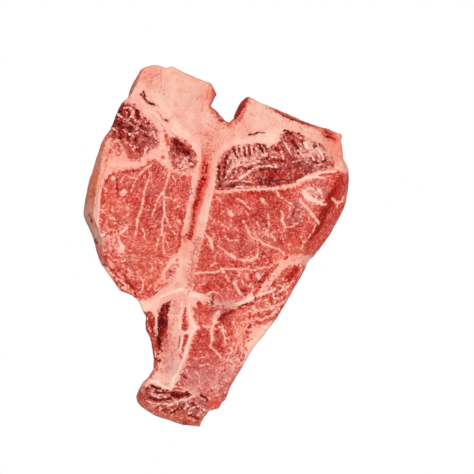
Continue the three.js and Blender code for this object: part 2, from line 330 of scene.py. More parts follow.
def hills(points, table, start=0.0):
    """A sum of round hills, each with its place in picture points, its radius and its height."""
    total = np.full(len(points), float(start))
    for x, y, radius, height in table:
        far2 = ((points - place((x, y))) ** 2).sum(1)
        total += height * np.exp(-far2 / radius**2)
    return total


COARSE = 1.5
coarse_x = np.arange(net[:, 0].min(), net[:, 0].max() + COARSE, COARSE)
coarse_y = np.arange(net[:, 1].min(), net[:, 1].max() + COARSE, COARSE)
coarse = np.stack(np.meshgrid(coarse_x, coarse_y), 2)
coarse_owner, coarse_deep = nearest_piece(coarse.reshape(-1, 2))
coarse_owner = coarse_owner.reshape(coarse.shape[:2])
coarse_deep = coarse_deep.reshape(coarse.shape[:2])

middles = net[triangles].mean(1)
cell = np.rint((middles - [coarse_x[0], coarse_y[0]]) / COARSE).astype(int)
owner = coarse_owner[cell[:, 1], cell[:, 0]]
near_border = np.abs(coarse_deep[cell[:, 1], cell[:, 0]]) < COARSE
owner[near_border], _ = nearest_piece(middles[near_border])
covered = np.flatnonzero(owner >= 0)
edge_far, edge_spot = nearest_within(EDGE, middles[covered], 2 * FOOT)
owner[covered[edge_far < hills(edge_spot, THIN_PLACES, FOOT)]] = -1
print("triangles of each piece:", {n: int((owner == i).sum()) for i, n in enumerate(NAMES)})


# %% [markdown]
# The border between two pieces is toothed at first, because it follows whole triangles. A triangle
# with two or three neighbours of another piece is a tooth and changes sides. A piece must not touch
# itself at a single point either: the smaller fan of triangles there goes to a neighbour.

# %% Remove the teeth of the borders
SIDES = ([0, 1], [1, 2], [2, 0])  # the corners at the ends of a triangle's sides


def neighbours_of(triangles):
    """For each triangle, the three triangles across its sides, -1 where there is none."""
    sides = np.sort(np.stack([triangles[:, side] for side in SIDES], 1), 2)
    key = sides[:, :, 0] * (triangles.max() + 1) + sides[:, :, 1]
    order = np.argsort(key.ravel(), kind="stable")
    flat = key.ravel()[order]
    twin = np.flatnonzero(flat[1:] == flat[:-1])
    across = np.full(len(triangles) * 3, -1)
    across[order[twin]] = order[twin + 1] // 3
    across[order[twin + 1]] = order[twin] // 3
    return across.reshape(-1, 3)


across = neighbours_of(triangles)
for _ in range(4):
    beside = np.where(across >= 0, owner[across], -1)
    alone = (beside == owner[:, None]).sum(1) <= 1
    pair = np.where(beside[:, 0] == beside[:, 1], beside[:, 0], beside[:, 2])
    owner[alone] = pair[alone]
print("teeth in the last round:", int(alone.sum()))


# %% Undo pinched points
def fans_at(point, index):
    """Groups of a piece's triangles round a point that hang together by their sides."""
    left = set(np.flatnonzero((triangles == point).any(1) & (owner == index)))
    fans = []
    while left:
        fan, fresh = set(), {left.pop()}
        while fresh:
            fan |= fresh
            fresh = {t for f in fresh for t in across[f] if t in left}
            left -= fresh
        fans.append(sorted(fan))
    return sorted(fans, key=len)


def marked_sides(marks):
    """Sides that a table marks: two points in the triangle's own order, and its piece."""
    found = []
    for side, ends in enumerate(SIDES):
        marked = marks[:, side]
        found.append(np.column_stack([triangles[marked][:, ends], owner[marked]]))
    return np.concatenate(found)


def changes_piece():
    """For each side of each triangle, whether another piece or nothing lies across it."""
    return (across < 0) | (owner[across] != owner[:, None])


def pinched_points():
    """Points that a piece touches from two sides, with that piece: its outline passes there twice."""
    starts = marked_sides(changes_piece() & (owner[:, None] >= 0))[:, [0, 2]]
    pairs, times = np.unique(starts, axis=0, return_counts=True)
    return pairs[times > 1]


for _ in range(6):
    pinches = pinched_points()
    for point, index in pinches:
        for fan in fans_at(point, index)[:-1]:
            beside = [owner[t] for f in fan for t in across[f] if t >= 0 and owner[t] != index]
            owner[fan] = beside[0] if beside else -1
print("pinched points left:", len(pinched_points()))

used = owner >= 0
triangles = triangles[used]
owner = owner[used]
across = neighbours_of(triangles)
print(len(triangles), "triangles on the steak")

# %% [markdown]
# Now each border point slides onto its line: half way between two pieces, or 1.6 mm inside the
# trimmed edge, less at two thin places, where the rounded wall begins. The slope of the distance
# says which way to move.
# Between the moves the points next to the border are evened out, so no triangle folds over.

# %% Slide the border points onto the borders
def pieces_round_points(count):
    """For each point, which pieces its triangles belong to, as a table of yes and no."""
    table = np.zeros((count, len(NAMES)), bool)
    for corner in range(3):
        table[triangles[:, corner], owner] = True
    return table


STRIDE = 0.6 * NET_STEP  # the longest move at a time
ALONG = 0.4  # how far border points even out along their line
BESIDE = 0.5  # how far the points next to them even out
touch = pieces_round_points(len(net))
rim = marked_sides(across < 0)
border = marked_sides(changes_piece() & (across >= 0))
on_rim = np.zeros(len(net), bool)
on_rim[rim[:, :2].ravel()] = True
shared = touch.sum(1)
between = (shared == 2) & ~on_rim
joint = shared > 2
print(int(on_rim.sum()), "points on the rim,", int(between.sum()), "between two pieces")


def slide(points, index, move):
    """Moves points, none of them farther than a stride."""
    reach = np.linalg.norm(move, axis=1)
    points[index] += move * np.minimum(1, STRIDE / np.maximum(reach, 1e-9))[:, None]


def settle_border(points):
    """Moves border points onto the line half way between their two pieces."""
    index = np.flatnonzero(between)
    first = touch[index].argmax(1)
    second = len(NAMES) - 1 - touch[index][:, ::-1].argmax(1)
    gap = np.zeros(len(index))
    slope = np.zeros((len(index), 2))
    for column, name in enumerate(NAMES):
        for which, sign in ((first, 1), (second, -1)):
            mine = which == column
            if mine.any():
                far, gradient = signed_distance(OUTLINES[name], points[index[mine]])
                gap[mine] += sign * far
                slope[mine] += sign * gradient
    steep = np.maximum((slope**2).sum(1), 0.5)
    slide(points, index, -(gap / steep)[:, None] * slope)


def settle_rim(points):
    """Moves rim points to the same distance from the trimmed edge."""
    index = np.flatnonzero(on_rim)
    far, spot = nearest_on(EDGE, points[index])
    inward = (points[index] - spot) / np.maximum(far, 1e-9)[:, None]
    slide(points, index, (hills(spot, THIN_PLACES, FOOT) - far)[:, None] * inward)


def averages(points, edges, share, which):
    """Moves the chosen points part of the way to the mean of their neighbours along edges."""
    total = np.zeros_like(points)
    count = np.zeros(len(points))
    for a, b in ((0, 1), (1, 0)):
        np.add.at(total, edges[:, a], points[edges[:, b]])
        np.add.at(count, edges[:, a], 1)
    chosen = which & (count > 0)
    mean = total[chosen] / count[chosen, None]
    points[chosen] += share * (mean - points[chosen])


all_edges = np.concatenate([triangles[:, side] for side in SIDES])
all_edges = np.unique(np.sort(all_edges, 1), axis=0)
line = on_rim | between | joint
beside_line = np.zeros(len(net), bool)
beside_line[all_edges[line[all_edges].any(1)].ravel()] = True
soft = beside_line & ~line
near_edges = all_edges[soft[all_edges].any(1)]
for _ in range(3):
    settle_border(net)
    settle_rim(net)
    averages(net, rim[:, :2], ALONG, on_rim & (shared == 1))
    averages(net, border[:, :2], ALONG, between)
    averages(net, near_edges, BESIDE, soft)
settle_border(net)
settle_rim(net)
averages(net, near_edges, BESIDE, soft)


# %% Untangle what has turned over
FLATTEST = 0.02 * NET_STEP**2


def doubled_area(points):
    """Twice the area of each triangle, below zero where it has turned over."""
    a, b, c = (points[triangles[:, k]] for k in range(3))
    return (b - a)[:, 0] * (c - a)[:, 1] - (b - a)[:, 1] * (c - a)[:, 0]


for _ in range(12):
    turned = triangles[doubled_area(net) < FLATTEST]
    if not len(turned):
        break
    tangled = np.zeros(len(net), bool)
    tangled[turned.ravel()] = True
    averages(net, all_edges[tangled[all_edges].any(1)], 0.6, tangled)
print("triangles still turned over:", int((doubled_area(net) <= 0).sum()))

# %% [markdown]
# ## Height of the upper face
# The cut face is slightly crowned: the muscles swell, the tail falls away, and the trimmed sides
# slope down before the rounded wall begins. The same places, lengths and heights as in the solids
# are used here, so the dressed steak has their form, and finer relief is added on top.

# %% The slopes, crowns and hollows of the solids
RIM_ROUNDING = 1.3
RIM_SLOPES = [  # x, y, reach in mm and extra width in mm
    (349, 182, 12, 4.5), (342, 213, 17, 7.5), (322, 246, 15, 7), (84, 212, 17, 5.2),
    (91, 176, 16, 3.2), (94, 246, 14, 3.6), (131, 84, 9, 2.2), (242, 104, 6, 2.2),
    (297, 117, 15, 1.2), (138, 404, 9, 2.4), (172, 423, 18, 3.4),
]
EXTRA = 6.0
WALL_HEIGHTS = np.array([0, 0.09, 0.34, 0.72, 0.93, 1 + EXTRA / THICKNESS]) * THICKNESS
WALL_RIM_SHARE = np.array([0, 0, 0, 0.42, 0.8, 1.15])
WALL_FOOT_SHARE = np.array([1, 0.25, 0, 0, 0, 0])
FACE_RELIEF = [  # x, y, radius in mm and height in mm
    (270, 222, 34, 0.9), (145, 225, 28, 0.9), (275, 163, 18, 0.5), (240, 340, 20, 0.5),
    (200, 110, 30, 0.6), (229, 314, 8, -1.5), (170, 425, 22, -2.4), (130, 285, 14, -1.4),
    (150, 340, 12, -1),
]


def wall_height(inset, width):
    """Height of the sloping wall at a distance inside the trimmed edge, for a rim width."""
    return np.interp(inset / width, WALL_RIM_SHARE[2:], WALL_HEIGHTS[2:])


loin_side = hills(place([(346, 205)]), RIM_SLOPES, RIM_ROUNDING)
print("rim width in mm at the side of the strip loin:", loin_side.round(1))


# %% Smooth noise from hashed lattice values
def hashed(cells, seed):
    """A repeatable number from 0 to 1 for each whole-numbered cell."""
    x = cells[..., 0].astype(np.int64) * 374761393
    y = cells[..., 1].astype(np.int64) * 668265263
    mixed = (x + y + seed * 1442695041) & 0x7FFFFFFF
    mixed = ((mixed ^ (mixed >> 13)) * 1274126177) & 0x7FFFFFFF
    return ((mixed ^ (mixed >> 16)) & 0xFFFF) / 0xFFFF


def noise(points, size, seed):
    """Smooth noise from -1 to 1 with features of the given size in mm."""
    scaled = points / size
    cell = np.floor(scaled).astype(int)
    part = scaled - cell
    part = part * part * (3 - 2 * part)
    total = np.zeros(len(points))
    for dx in (0, 1):
        for dy in (0, 1):
            weight = np.where(dx, part[:, 0], 1 - part[:, 0]) * np.where(dy, part[:, 1], 1 - part[:, 1])
            total += weight * hashed(cell + [dx, dy], seed)
    return total * 2 - 1


def rough(points, size, seed, octaves=3):
    """Noise with finer noise on top, each octave half as large."""
    total = np.zeros(len(points))
    for octave in range(octaves):
        total += noise(points, size / 2**octave, seed + octave) / 2**octave
    return total


print("noise spans", rough(net[:500], 3, 1).min().round(2), rough(net[:500], 3, 1).max().round(2))

# %% [markdown]
# ## Strokes: veins, clefts and stains
# A vein of fat is a line that is broad in the middle of a muscle and thins out. Each one is a
# stroke: a width at its start, a width at its end, and the places it runs through. What the
# materials need is not the stroke itself but how far every point of the steak is from it, because
# a distance stays smooth between the points of the net and gives a crisp edge at any size.

# %% Distance to strokes
STROKE_REACH = 3.0


def stroke_distance(points, strokes):
    """Distance in mm from each point to the nearest stroke's side, negative inside a stroke."""
    best = np.full(len(points), STROKE_REACH)
    for width0, width1, *run in strokes:
        line = place(run if len(run) > 1 else run * 2)
        if len(run) == 1:
            line[1] += 1e-3
        low = line.min(0) - STROKE_REACH - width0 - width1
        high = line.max(0) + STROKE_REACH + width0 + width1
        near = np.flatnonzero(((points > low) & (points < high)).all(1))
        if not len(near):
            continue
        length = np.linalg.norm(np.diff(line, axis=0), axis=1)
        gone = np.concatenate([[0], np.cumsum(length)]) / length.sum()
        for a in range(len(length)):
            along = line[a + 1] - line[a]
            share = np.clip((points[near] - line[a]) @ along / max(length[a], 1e-9) ** 2, 0, 1)
            far = np.linalg.norm(points[near] - line[a] - share[:, None] * along, axis=1)
            run_share = gone[a] + share * (gone[a + 1] - gone[a])
            half = (width0 + (width1 - width0) * run_share) * POINT / 2
            best[near] = np.minimum(best[near], far - half)
    return best


CLEFTS = [  # width at both ends in picture points, then the run
    (2.2, 1.6, (141.5, 94.5), (144, 98), (146.5, 100.5)), (1.8, 1.4, (143.3, 92.3), (145.5, 96.5)),
    (1.6, 1.8, (147.5, 101.5), (151, 103.8), (154.5, 105)), (1.2, 1.6, (164, 119.6), (168, 121.2)),
    (2.6, 2.8, (151, 385.5), (155, 387.5), (160, 389)), (1, 0.8, (162, 390), (168, 390.5)),
    (2.4, 1.8, (200.5, 395.8), (205.5, 398), (207.5, 400)), (1.4, 1.6, (211, 301), (212.5, 303.6)),
    (1.2, 0.6, (249, 135), (254, 134.3), (259, 132.2), (264, 133)),
    (1.2, 0.8, (90, 216), (91.5, 220), (92.5, 224)),
]
cleft_far = stroke_distance(net, CLEFTS)
print("points inside a cleft:", int((cleft_far < 0).sum()))

# %% [markdown]
# Each list below holds the strokes of one kind: two widths in picture points, then the places the
# stroke runs through. A stroke with a single place is a round spot. The fat veins of the tenderloin
# fan downwards from its upper end, those of the strip loin run mostly down to the right, and the
# lower muscles are crossed by short pale streaks.

# %% Veins of fat in the tenderloin and the strip loin
TENDERLOIN_VEINS = [
    (1.6, 1, (152.7, 163.5), (146.5, 167.7), (141.3, 172.3), (136.6, 178), (134, 184.3), (130.4, 192.6)),
    (1, 0.7, (136.6, 178), (130.9, 177.5), (125.7, 174.4), (122.6, 178), (119.5, 184.3)),
    (1.4, 1.5, (148, 168.7), (150.6, 173.9), (148, 181.2), (144.9, 189.5), (143.9, 196.7), (142.3, 204)),
    (1.6, 2.8, (142.3, 204), (141.8, 210.2), (138.4, 216.5)),
    (2.8, 1, (138.4, 216.5), (137.1, 222.7), (136.6, 231), (133.5, 239.3)),
    (0.8, 0.5, (151, 175), (151.6, 181.2), (153.7, 188.4)),
    (2.2, 1.6, (169.8, 163.5), (171.4, 169.7), (168.3, 176), (166.2, 184.3), (163.6, 191.5)),
    (1.4, 0.9, (163.6, 191.5), (158.9, 196.7), (156.3, 204), (153.7, 211.3), (151.6, 217.5)),
    (1.4, 1.7, (163.6, 191.5), (164.1, 197.8), (164.1, 208.2), (164.6, 213.3), (162.6, 220.6), (162, 228.9)),
    (1.5, 0.7, (162, 228.9), (162, 233), (158.9, 238.3), (156.8, 245.5), (156.3, 250.7)),
    (1.3, 0.7, (164.6, 213.3), (167.2, 219.6), (170.3, 226.8), (173.5, 233), (177.6, 235.2)),
    (1.2, 0.7, (162, 233), (164.6, 238.3), (168.3, 245.5), (169.3, 249.7)),
    (1, 1.4, (163, 240.3), (163.6, 247.6), (164.1, 254.9)),
    (1.4, 0.8, (164.1, 254.9), (170.3, 257), (176, 255)),
    (1.2, 0.8, (164.1, 197.8), (170.3, 197.8), (174.5, 200.9), (177.6, 195.7)),
    (0.9, 0.6, (172.4, 176), (175.5, 180.1), (175.5, 184.3)),
    (1.5, 0.8, (142.3, 228.9), (144.9, 233), (143.3, 238.3), (148.5, 241.4)),
    (1.2, 0.9, (136.6, 271.5), (139.2, 275.6), (143.3, 280.8), (142.8, 287), (140.2, 293.3)),
    (0.9, 0.6, (143.3, 280.8), (146.5, 276.7)), (1, 0.8, (99.7, 210), (105, 210.2), (108, 208.2)),
    (3.8, 1.6, (121.5, 232), (127.2, 227.4)), (5, 5, (112.7, 178.6)),
    (6, 4.5, (122.6, 193.2), (124.2, 191.6)), (7, 5, (121, 249), (122.8, 247)),
    (3, 1.6, (121, 245), (119.5, 241), (118.4, 237.2)),
    (1.1, 0.8, (109, 236), (114.3, 240.3), (118.4, 243.5)),
    (1, 0.7, (109, 236), (109.6, 243.5), (110.1, 249.7)),
    (1.4, 1, (131.9, 259), (135, 262.1), (138.2, 260)),
    (1, 0.7, (103, 186), (106, 190), (105, 195)), (1, 0.6, (117, 199), (120, 203), (118, 207)),
    (2.2, 1.4, (113, 218), (116, 221)), (1.2, 0.8, (127, 206), (129, 211), (127, 216)),
    (1.1, 0.7, (174, 209), (178, 206), (181, 207)), (2.6, 1.6, (178.5, 221), (181, 224)),
    (1, 0.7, (150, 262), (153, 266), (151, 271)), (0.9, 0.7, (160, 262), (164, 265)),
    (1.3, 0.8, (128, 269), (131, 273), (129, 277)), (1.2, 0.8, (148, 290), (151, 285), (156, 283)),
]
STRIP_VEINS_AND_HIGHLIGHT = [
    (1.3, 1.5, (243, 221), (246.5, 227), (249, 233), (251.5, 237)),
    (1.6, 1.9, (251.5, 237), (258, 240), (265, 244), (272, 247), (280, 250), (284, 254)),
    (1.2, 2, (237, 199), (243, 201.5)), (2, 1, (243, 201.5), (246, 205.5), (250, 209)),
    (1.6, 1.1, (217, 197), (220, 201), (222.5, 203)), (5, 3, (230, 212.5), (232.5, 214.5)),
    (1.4, 0.8, (228, 209), (231, 214), (231, 220)), (1.3, 0.7, (208, 214), (212, 218), (215, 222)),
    (1, 1.8, (204.5, 232), (207, 236), (209.5, 239)),
    (4.2, 1.3, (210.5, 240), (212, 246), (213, 251)), (1.6, 0.9, (212, 238), (214.5, 236)),
    (1, 1.8, (218, 246), (224, 250), (229, 255)), (4, 3.4, (231.5, 255.5), (235, 258.5)),
    (1.8, 2.4, (238, 259.5), (245, 260.5), (252, 260)), (3.8, 2.6, (252, 259.5), (256.5, 257)),
    (2.2, 0.8, (257, 255), (258.5, 249.5)), (1.2, 0.8, (249, 257), (244, 262)),
    (1.5, 1.9, (193, 274), (205, 272), (215, 272.5), (222, 269), (232, 269)),
    (1.9, 1.1, (232, 269), (238, 269.5), (246, 269), (255, 270), (262, 268), (270, 267)),
    (2.4, 1.1, (221, 269), (225, 274), (228, 281)), (1.2, 2.6, (233, 283), (237, 281)),
    (3, 1.4, (235.5, 284), (236, 287), (240, 293), (244, 297)), (1.2, 0.9, (238, 276), (240, 274)),
    (4.6, 3, (257.5, 275), (259, 278)), (1.2, 0.8, (262, 198), (265, 201), (267, 204)),
    (3, 1.2, (262, 200), (264, 203)), (1.6, 1.3, (276, 191), (280, 197), (285, 200), (291, 204)),
    (2.8, 3.4, (300, 200), (303, 204), (308, 209), (312, 214)),
    (3.4, 2.2, (312, 214), (316, 219), (318, 223)), (1.6, 3.2, (281, 211), (283, 216)),
    (3.4, 1.6, (283, 216), (282, 220), (285, 226), (286, 230)),
    (1.2, 0.8, (268, 215), (269, 222), (269, 228)), (1.3, 0.9, (271, 234), (274, 238), (275, 242)),
    (1.4, 0.9, (289, 227), (294, 226), (298, 223)), (1, 0.7, (301, 236), (303, 241)),
    (0.8, 1.1, (225, 236), (229, 241), (238, 240)), (2, 1, (222, 225), (226, 226)),
    (1.6, 1, (212, 265), (216, 263)), (2.8, 3.2, (308, 194), (306, 198), (312, 201), (320, 202)),
    (3.2, 1.6, (320, 190), (322, 193)), (2, 1.6, (316, 199), (323, 204)),
    (2.4, 1.6, (333, 199), (337, 203)), (3, 2, (337, 203), (343, 201), (344, 197)),
    (2, 1, (337, 203), (338, 208)),
    # painted highlight along the edge where the face turns down to the bevel
    (0.9, 0.9, (316, 224), (313, 231), (309, 237), (304, 243), (301, 249)),
    (3, 1.6, (330, 233), (332, 236)), (1.8, 1.2, (206, 295), (212, 292), (218, 293)),
    (1.4, 1, (199, 285), (205, 283)), (1.6, 1, (246, 212), (248, 215)),
    (1.5, 1, (257, 222), (259, 226)), (1.8, 1, (236, 228), (238, 231)),
]
print(len(TENDERLOIN_VEINS), "and", len(STRIP_VEINS_AND_HIGHLIGHT), "veins")

# %% Pale streaks in the lower muscles, the tail and the dark muscles
LOWER_VEINS = [
    (4.6, 2.8, (218, 313), (215, 320), (213, 326)),
    (2.8, 1.8, (213, 326), (212, 333), (211.5, 341), (210, 348)), (2.2, 3, (206, 326), (213, 327)),
    (1.6, 1.4, (210, 347), (215, 350), (220, 357), (224, 360)),
    (1.2, 0.8, (222, 325), (224, 335), (226, 345), (229, 348)),
    (1.6, 1, (233, 322), (237, 330), (238, 340), (236, 350)),
    (2, 2.4, (252, 309), (262, 311), (275, 306), (282, 303)),
    (1.8, 2.2, (255, 318), (262, 320), (270, 316), (277, 312)), (2.2, 1.4, (262, 301), (268, 299)),
    (1.4, 1.8, (244, 314), (249, 311), (254, 313)), (1.2, 1, (268, 302), (271, 307), (275, 309)),
    (1.4, 1, (228, 360), (233, 363), (239, 362)), (1.2, 1, (229, 365), (235, 367), (240, 366)),
    (1.2, 0.9, (242, 352), (246, 349)), (1.2, 0.8, (200, 366), (207, 364), (213, 366)),
    (1, 0.8, (190, 356), (197, 359), (204, 357)), (1.2, 0.9, (196, 372), (200, 377), (199, 383)),
    (1.1, 0.8, (186, 370), (189, 376), (193, 380)), (4.4, 4, (266, 288), (272, 279), (281, 269)),
    (2.6, 2, (281, 269), (288, 265)), (1.4, 1, (276, 285), (283, 286), (288, 283)),
    (1.6, 1, (300, 264), (302, 270), (300, 276)), (1.2, 0.9, (286, 287), (291, 283), (294, 279)),
    (1.2, 1.6, (279, 291), (285, 289), (290, 285)),
]
TAIL_VEINS = [
    (1, 1.4, (146, 401), (153, 403), (162, 404.5), (172, 403.5)),
    (1.4, 2.2, (172, 403.5), (180, 401), (188, 399), (194, 396), (199, 393.5)),
    (0.9, 1.2, (160, 410), (167, 406.5), (173, 404.5)),
    (1.6, 1, (186, 400), (187, 405), (184.5, 409)), (1, 0.8, (187, 405), (191, 409), (189, 414)),
    (1, 0.8, (178, 402), (176, 408), (171, 411)), (1.4, 1, (201, 408), (207, 411)),
    (1.4, 1, (203, 415), (208, 413)), (1.3, 1, (150, 413), (158, 418)),
    (1.4, 1.1, (163, 420), (172, 423.5), (180, 425)), (1.2, 0.9, (186, 427), (196, 430)),
    (1, 0.8, (152, 395), (158, 398), (166, 397)), (1, 0.8, (152, 393), (157, 396), (163, 395)),
    (1.2, 0.8, (193, 408), (199, 406)), (2.6, 1.4, (203, 419), (208, 415)),
]
DARK_MUSCLE_VEINS = [
    (3, 2.4, (240, 178), (246, 174.5), (252, 170)),
    (2, 1.6, (252, 170), (258, 166.5), (268, 166), (276, 167)),
    (1.4, 1, (270, 164), (278, 165), (284, 163)), (1, 1.4, (228, 181.5), (240, 180.5), (250, 182)),
    (1.4, 1.2, (236, 187), (252, 187), (266, 187)), (1.6, 1, (262, 155), (270, 157), (276, 157)),
    (2.4, 1.6, (281, 152), (284, 158)), (1.4, 1, (300, 152), (304, 157), (309, 160)),
    (1.2, 1, (293, 162), (300, 160)), (1.2, 0.9, (241, 161), (247, 160), (251, 163)),
    (1.2, 0.9, (252, 158), (258, 162), (262, 160)), (1.1, 0.9, (236, 158), (238, 164), (236, 170)),
    (1.6, 1.2, (283, 140), (287, 147), (290, 153)), (2, 1.4, (233, 166), (229, 172), (226, 178)),
    (1.4, 1, (245, 166), (252, 162), (259, 161)), (1.2, 0.9, (115.5, 113), (120, 116), (125, 120)),
    (0.9, 0.8, (124, 108), (129, 107), (132, 110), (131, 116), (128, 121)),
    (1.1, 0.9, (133.5, 109), (133, 116), (136, 121.5), (141, 121)),
    (1, 0.8, (142, 111), (142.5, 118)), (1.2, 0.9, (127, 121), (133, 125), (139, 129), (147, 133)),
    (1.1, 0.8, (124, 130), (129, 134), (134, 134), (138, 132)),
    (1.1, 0.8, (126, 141), (131, 145), (136, 147)), (3, 2, (146, 148), (144.5, 154)),
    (1.3, 0.9, (150, 126), (154, 133), (156, 139)), (1, 0.8, (112, 128), (117, 131)),
]
COMB = (236.2, 241.1, 246.1, 251.4, 256)
DARK_MUSCLE_VEINS += [(1.5, 0.9, (x, 147), (x + 1.3, 155)) for x in COMB]
print(len(LOWER_VEINS) + len(TAIL_VEINS) + len(DARK_MUSCLE_VEINS), "more pale streaks")

# %% [markdown]
# Dark places are painted shade in slits, under a step in the cut and along the sloping side of the strip
# loin, and spots where juice has pooled. They are strokes too: broad ones for pools and for the shade on the
# sloping side, thin ones for slits.

# %% Dark streaks in the tenderloin and the small muscles
DARK_STREAKS = [
    # rim of the tenderloin beside the bone
    (1.2, 1, (190.5, 181), (191, 188), (192, 194)), (1.3, 1, (180.7, 216.5), (181.8, 220.6)),
    (1.6, 1, (179.7, 231), (180.2, 237), (179.7, 243.5), (176.6, 252.8)),
    (1.6, 1.2, (186.5, 234.5), (188, 238)),
    (1.4, 1.4, (189, 232.5), (192.5, 231.5), (193, 236), (189.5, 237.5)),
    (1.6, 1.2, (127.8, 280.8), (134, 290.2), (136, 295.4)), (1.6, 1.2, (154.8, 294.3), (160, 288)),
    (1.8, 1.4, (124, 275), (129, 283)), (2.6, 2.6, (107, 257)),
    (1.4, 1, (114, 173), (110, 175.5), (106.5, 181), (103.5, 187), (101.8, 193)),
    (1.6, 1.2, (117, 179), (117, 190), (117.5, 199)),
    (1.6, 1.2, (122, 171.5), (131, 171.8), (140, 170)),
    # muscle beside the stem
    (8, 10, (165.5, 307), (163, 316), (161.5, 328)), (10, 5, (161.5, 328), (160, 338), (158, 347)),
    (2, 1.6, (169, 301), (166, 306)), (4, 4, (150, 319), (151, 330)),
    (3, 2.4, (157.5, 359.5), (160, 361)), (3.4, 3, (156.6, 359), (160.2, 360.4)),
    (1.4, 1, (313, 146), (316, 150)), (1.2, 1, (319, 144), (324, 149)),
    (1.4, 1.1, (320, 157), (325, 154)), (1.2, 1, (303, 153), (310, 151)),
    (1.2, 1, (312, 155), (317, 158)), (2, 1.6, (166.6, 335), (166.4, 339)),
    # dark muscle at the upper left
    (8, 8, (120, 105), (116, 114), (119, 123)), (7, 5, (117, 122), (122, 129), (121, 137)),
    (3.4, 2.4, (127, 110), (129, 116)), (4.8, 4.4, (137, 112), (138, 118)),
    (5, 4.4, (141, 127), (146, 136)), (5, 4, (130, 128), (129, 140)),
    (3, 2, (141, 126), (147, 133), (150, 139)), (2.2, 1.6, (133, 123), (137, 128)),
    (2.4, 1.8, (112, 126), (116, 130), (113, 135)), (1.8, 1.6, (133, 104), (135, 104)),
    # small muscle beside the bone
    (5, 5.5, (174, 141), (180, 149), (187, 153)), (3.2, 2.6, (176, 143), (182, 144)),
    (3, 2.4, (189, 160), (192, 166)), (2, 1.6, (183, 160), (187, 163)),
]

# %% Dark streaks in the muscle at the right, and painted shade on the sloping side
DARK_STREAKS += [
    (1.6, 1.2, (257, 171), (266, 169), (280, 169)), (1.4, 1.2, (256, 178), (270, 181), (284, 180)),
    (2.4, 2, (233.5, 146.5), (234.5, 152), (237, 157)),
    (2.2, 2, (238.5, 146), (240, 151), (240.5, 156)),
    (2.2, 2, (243.5, 146), (245, 151), (245, 157)), (2.4, 2, (248, 145.5), (250, 151), (250, 155)),
    (2.6, 2, (259, 144.5), (261, 149), (264, 154)), (2.2, 1.6, (264.5, 145), (267, 150)),
    (2.6, 2.4, (226.5, 155), (225.5, 163), (224, 172), (224.5, 178)),
    (2.4, 2.2, (219, 166), (219, 176), (220, 186)),
    (1.6, 1.4, (231, 162), (227.5, 170), (228, 177)), (1.6, 1.4, (235, 168), (232, 175)),
    (3, 2.4, (241, 167), (247, 170), (252, 167)), (3.4, 2, (268, 158), (276, 160), (285, 162)),
    (4, 3.4, (285, 131.5), (291, 133)), (2.6, 2, (298, 133.5), (303, 136.5)),
    (4.2, 3.6, (292, 141), (297, 147), (299, 153)), (3, 2.4, (301, 141), (304, 147)),
    (3.4, 2.8, (311, 159), (318, 163), (326, 160)), (2, 1.6, (315, 144), (318, 149)),
    (2.2, 1.8, (275, 147), (281, 153), (285, 157)), (2.4, 1.8, (228, 186), (238, 186), (247, 188)),
    # painted shade along the bevel of the strip loin, where its side turns down away from the light
    (5, 8, (341, 177), (338, 184), (334, 192)), (8, 8, (334, 192), (329.5, 201), (326, 209)),
    (8, 5, (326, 209), (322.5, 218), (319, 226), (311, 238)),
    (3.6, 4.6, (337.5, 181), (331.5, 195), (324, 210)),
    (4.6, 2.6, (324, 210), (318, 222), (308, 238)), (3, 2.4, (342, 181), (344, 185)),
    (2.4, 2, (308, 238), (312, 233)),
    # inside the strip loin
    (1.4, 1, (207, 274.8), (215, 275), (222, 273)),
    (1.6, 1.4, (293, 216), (296, 204)), (1.4, 1.2, (297, 207), (299, 213)),
    (1.4, 1.2, (308, 186), (311, 189)), (1.2, 1, (313, 193), (317, 196)),
    (1.6, 1.3, (231, 261), (235, 263)), (1.8, 1.4, (241, 290), (246, 292)),
]

